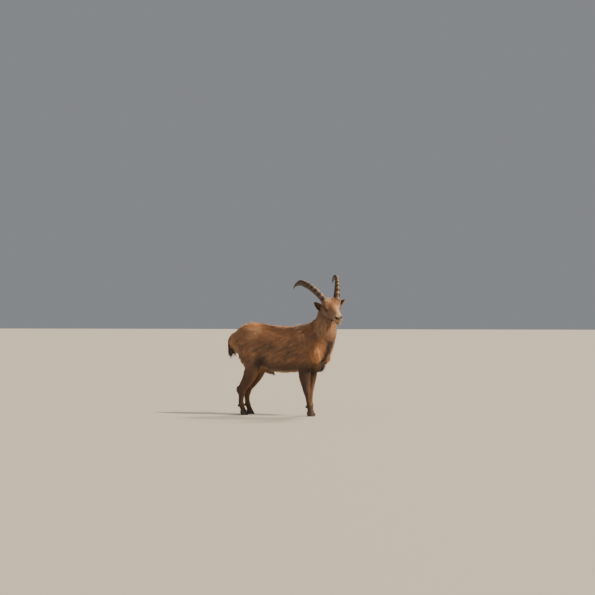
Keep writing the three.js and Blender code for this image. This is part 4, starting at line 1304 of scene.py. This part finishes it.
def eye_mesh(s):
    at, axes = EYES[s]
    local = ball(np.linspace(0, 1, 49)[1:-1], angles(64)) * (EYE_RADIUS - 0.4)
    faces = [group[:, ::s] for group in lofted(local)]
    mesh = make_mesh("eyeball_" + SIDE_NAMES[s], local.reshape(-1, 3) @ axes.T + at, faces)
    a, b, out = local.reshape(-1, 3).T
    r = np.hypot(a, b)
    rays = noise(np.stack([np.arctan2(b, a) * 14, r * 0.4, 0 * r], 1), 1.0, 41)
    iris = np.array([0.10, 0.045, 0.014]) * (1 + 0.35 * rays)[:, None]
    c = layered(
        np.array([0.055, 0.03, 0.018]),
        (iris, ramp(r, IRIS + 0.4, IRIS - 0.6) * (out > 0)),
        ((0.02, 0.012, 0.008), 0.8 * bump(r, IRIS, 1.6) * (out > 0)),
    )
    pupil = (np.abs(a) / PUPIL[0]) ** 3 + (np.abs(b) / PUPIL[1]) ** 3 < 1
    c[pupil & (out > 0)] = (0.004, 0.004, 0.005)
    paint(mesh, c)
    return mesh


for s in SIDES:
    place(eye_mesh(s), eye_material, "eye_" + SIDE_NAMES[s])


# Camera, as far off as the photograph's flat perspective asks
PICTURE = 595  # pixels
FOCAL = 1800  # pixels
SCALE = 0.112  # pixels to a millimetre on the animal
CAMERA_AZIMUTH = 25
CAMERA_ELEVATION = 1.5
AIM = np.array([0, 0, 420.0])
AIM_PIXEL = (280, 368)


def add_camera():
    azimuth, elevation = math.radians(CAMERA_AZIMUTH), math.radians(CAMERA_ELEVATION)
    level = np.array([math.sin(azimuth), -math.cos(azimuth), 0])
    back = level * math.cos(elevation) + (0, 0, math.sin(elevation))
    data = bpy.data.cameras.new("camera")
    data.sensor_width = 36
    data.lens = data.sensor_width * FOCAL / PICTURE
    data.clip_end = 200
    camera = add_object("camera", data)
    camera.location = Vector(to_frame(AIM + back * FOCAL / SCALE))
    turn_left, turn_down = (math.atan((pixel - PICTURE / 2) / FOCAL) for pixel in AIM_PIXEL)
    camera.rotation_euler = (math.pi / 2 - elevation + turn_down, 0, azimuth + turn_left)
    bpy.context.scene.camera = camera


# Each sun: the direction to it, its width in degrees, its strength and its colour
SUNS = {
    "key": ((0.74, -0.02, 0.68), 5, 7.0, (1.0, 0.79, 0.55)),
    "fill": ((-0.1, -1.0, 0.5), 60, 0.45, (0.97, 0.97, 1.0)),
    "rim": ((0.1, 0.7, 0.7), 14, 3.5, (1.0, 0.78, 0.54)),
}
SKY = {"Color": (0.80, 0.83, 0.88, 1), "Strength": 0.30}
FLOOR = {"Base Color": (0.34, 0.335, 0.325, 1), "Roughness": 0.9}
FLOOR_REACH = 150.0  # metres to each side


def add_light(name, direction, width, strength, colour):
    data = bpy.data.lights.new(name, "SUN")
    data.angle = math.radians(width)
    data.energy = strength
    data.color = colour
    light = add_object(name, data)
    light.rotation_mode = "QUATERNION"
    light.rotation_quaternion = Vector(unit(direction)).to_track_quat("Z", "Y")


def add_floor():
    mesh = bpy.data.meshes.new("floor")
    corners = [(x * FLOOR_REACH, y * FLOOR_REACH, 0) for x, y in ((-1, -1), (1, -1), (1, 1), (-1, 1))]
    mesh.from_pydata(corners, [], [(0, 1, 2, 3)])
    material, _, shader = new_material("floor")
    set_inputs(shader, FLOOR)
    mesh.materials.append(material)
    add_object("floor", mesh)


add_camera()
add_floor()
for name, sun in SUNS.items():
    add_light(name, *sun)
world = bpy.data.worlds.new("studio")
world.use_nodes = True
set_inputs(world.node_tree.nodes["Background"], SKY)
bpy.context.scene.world = world
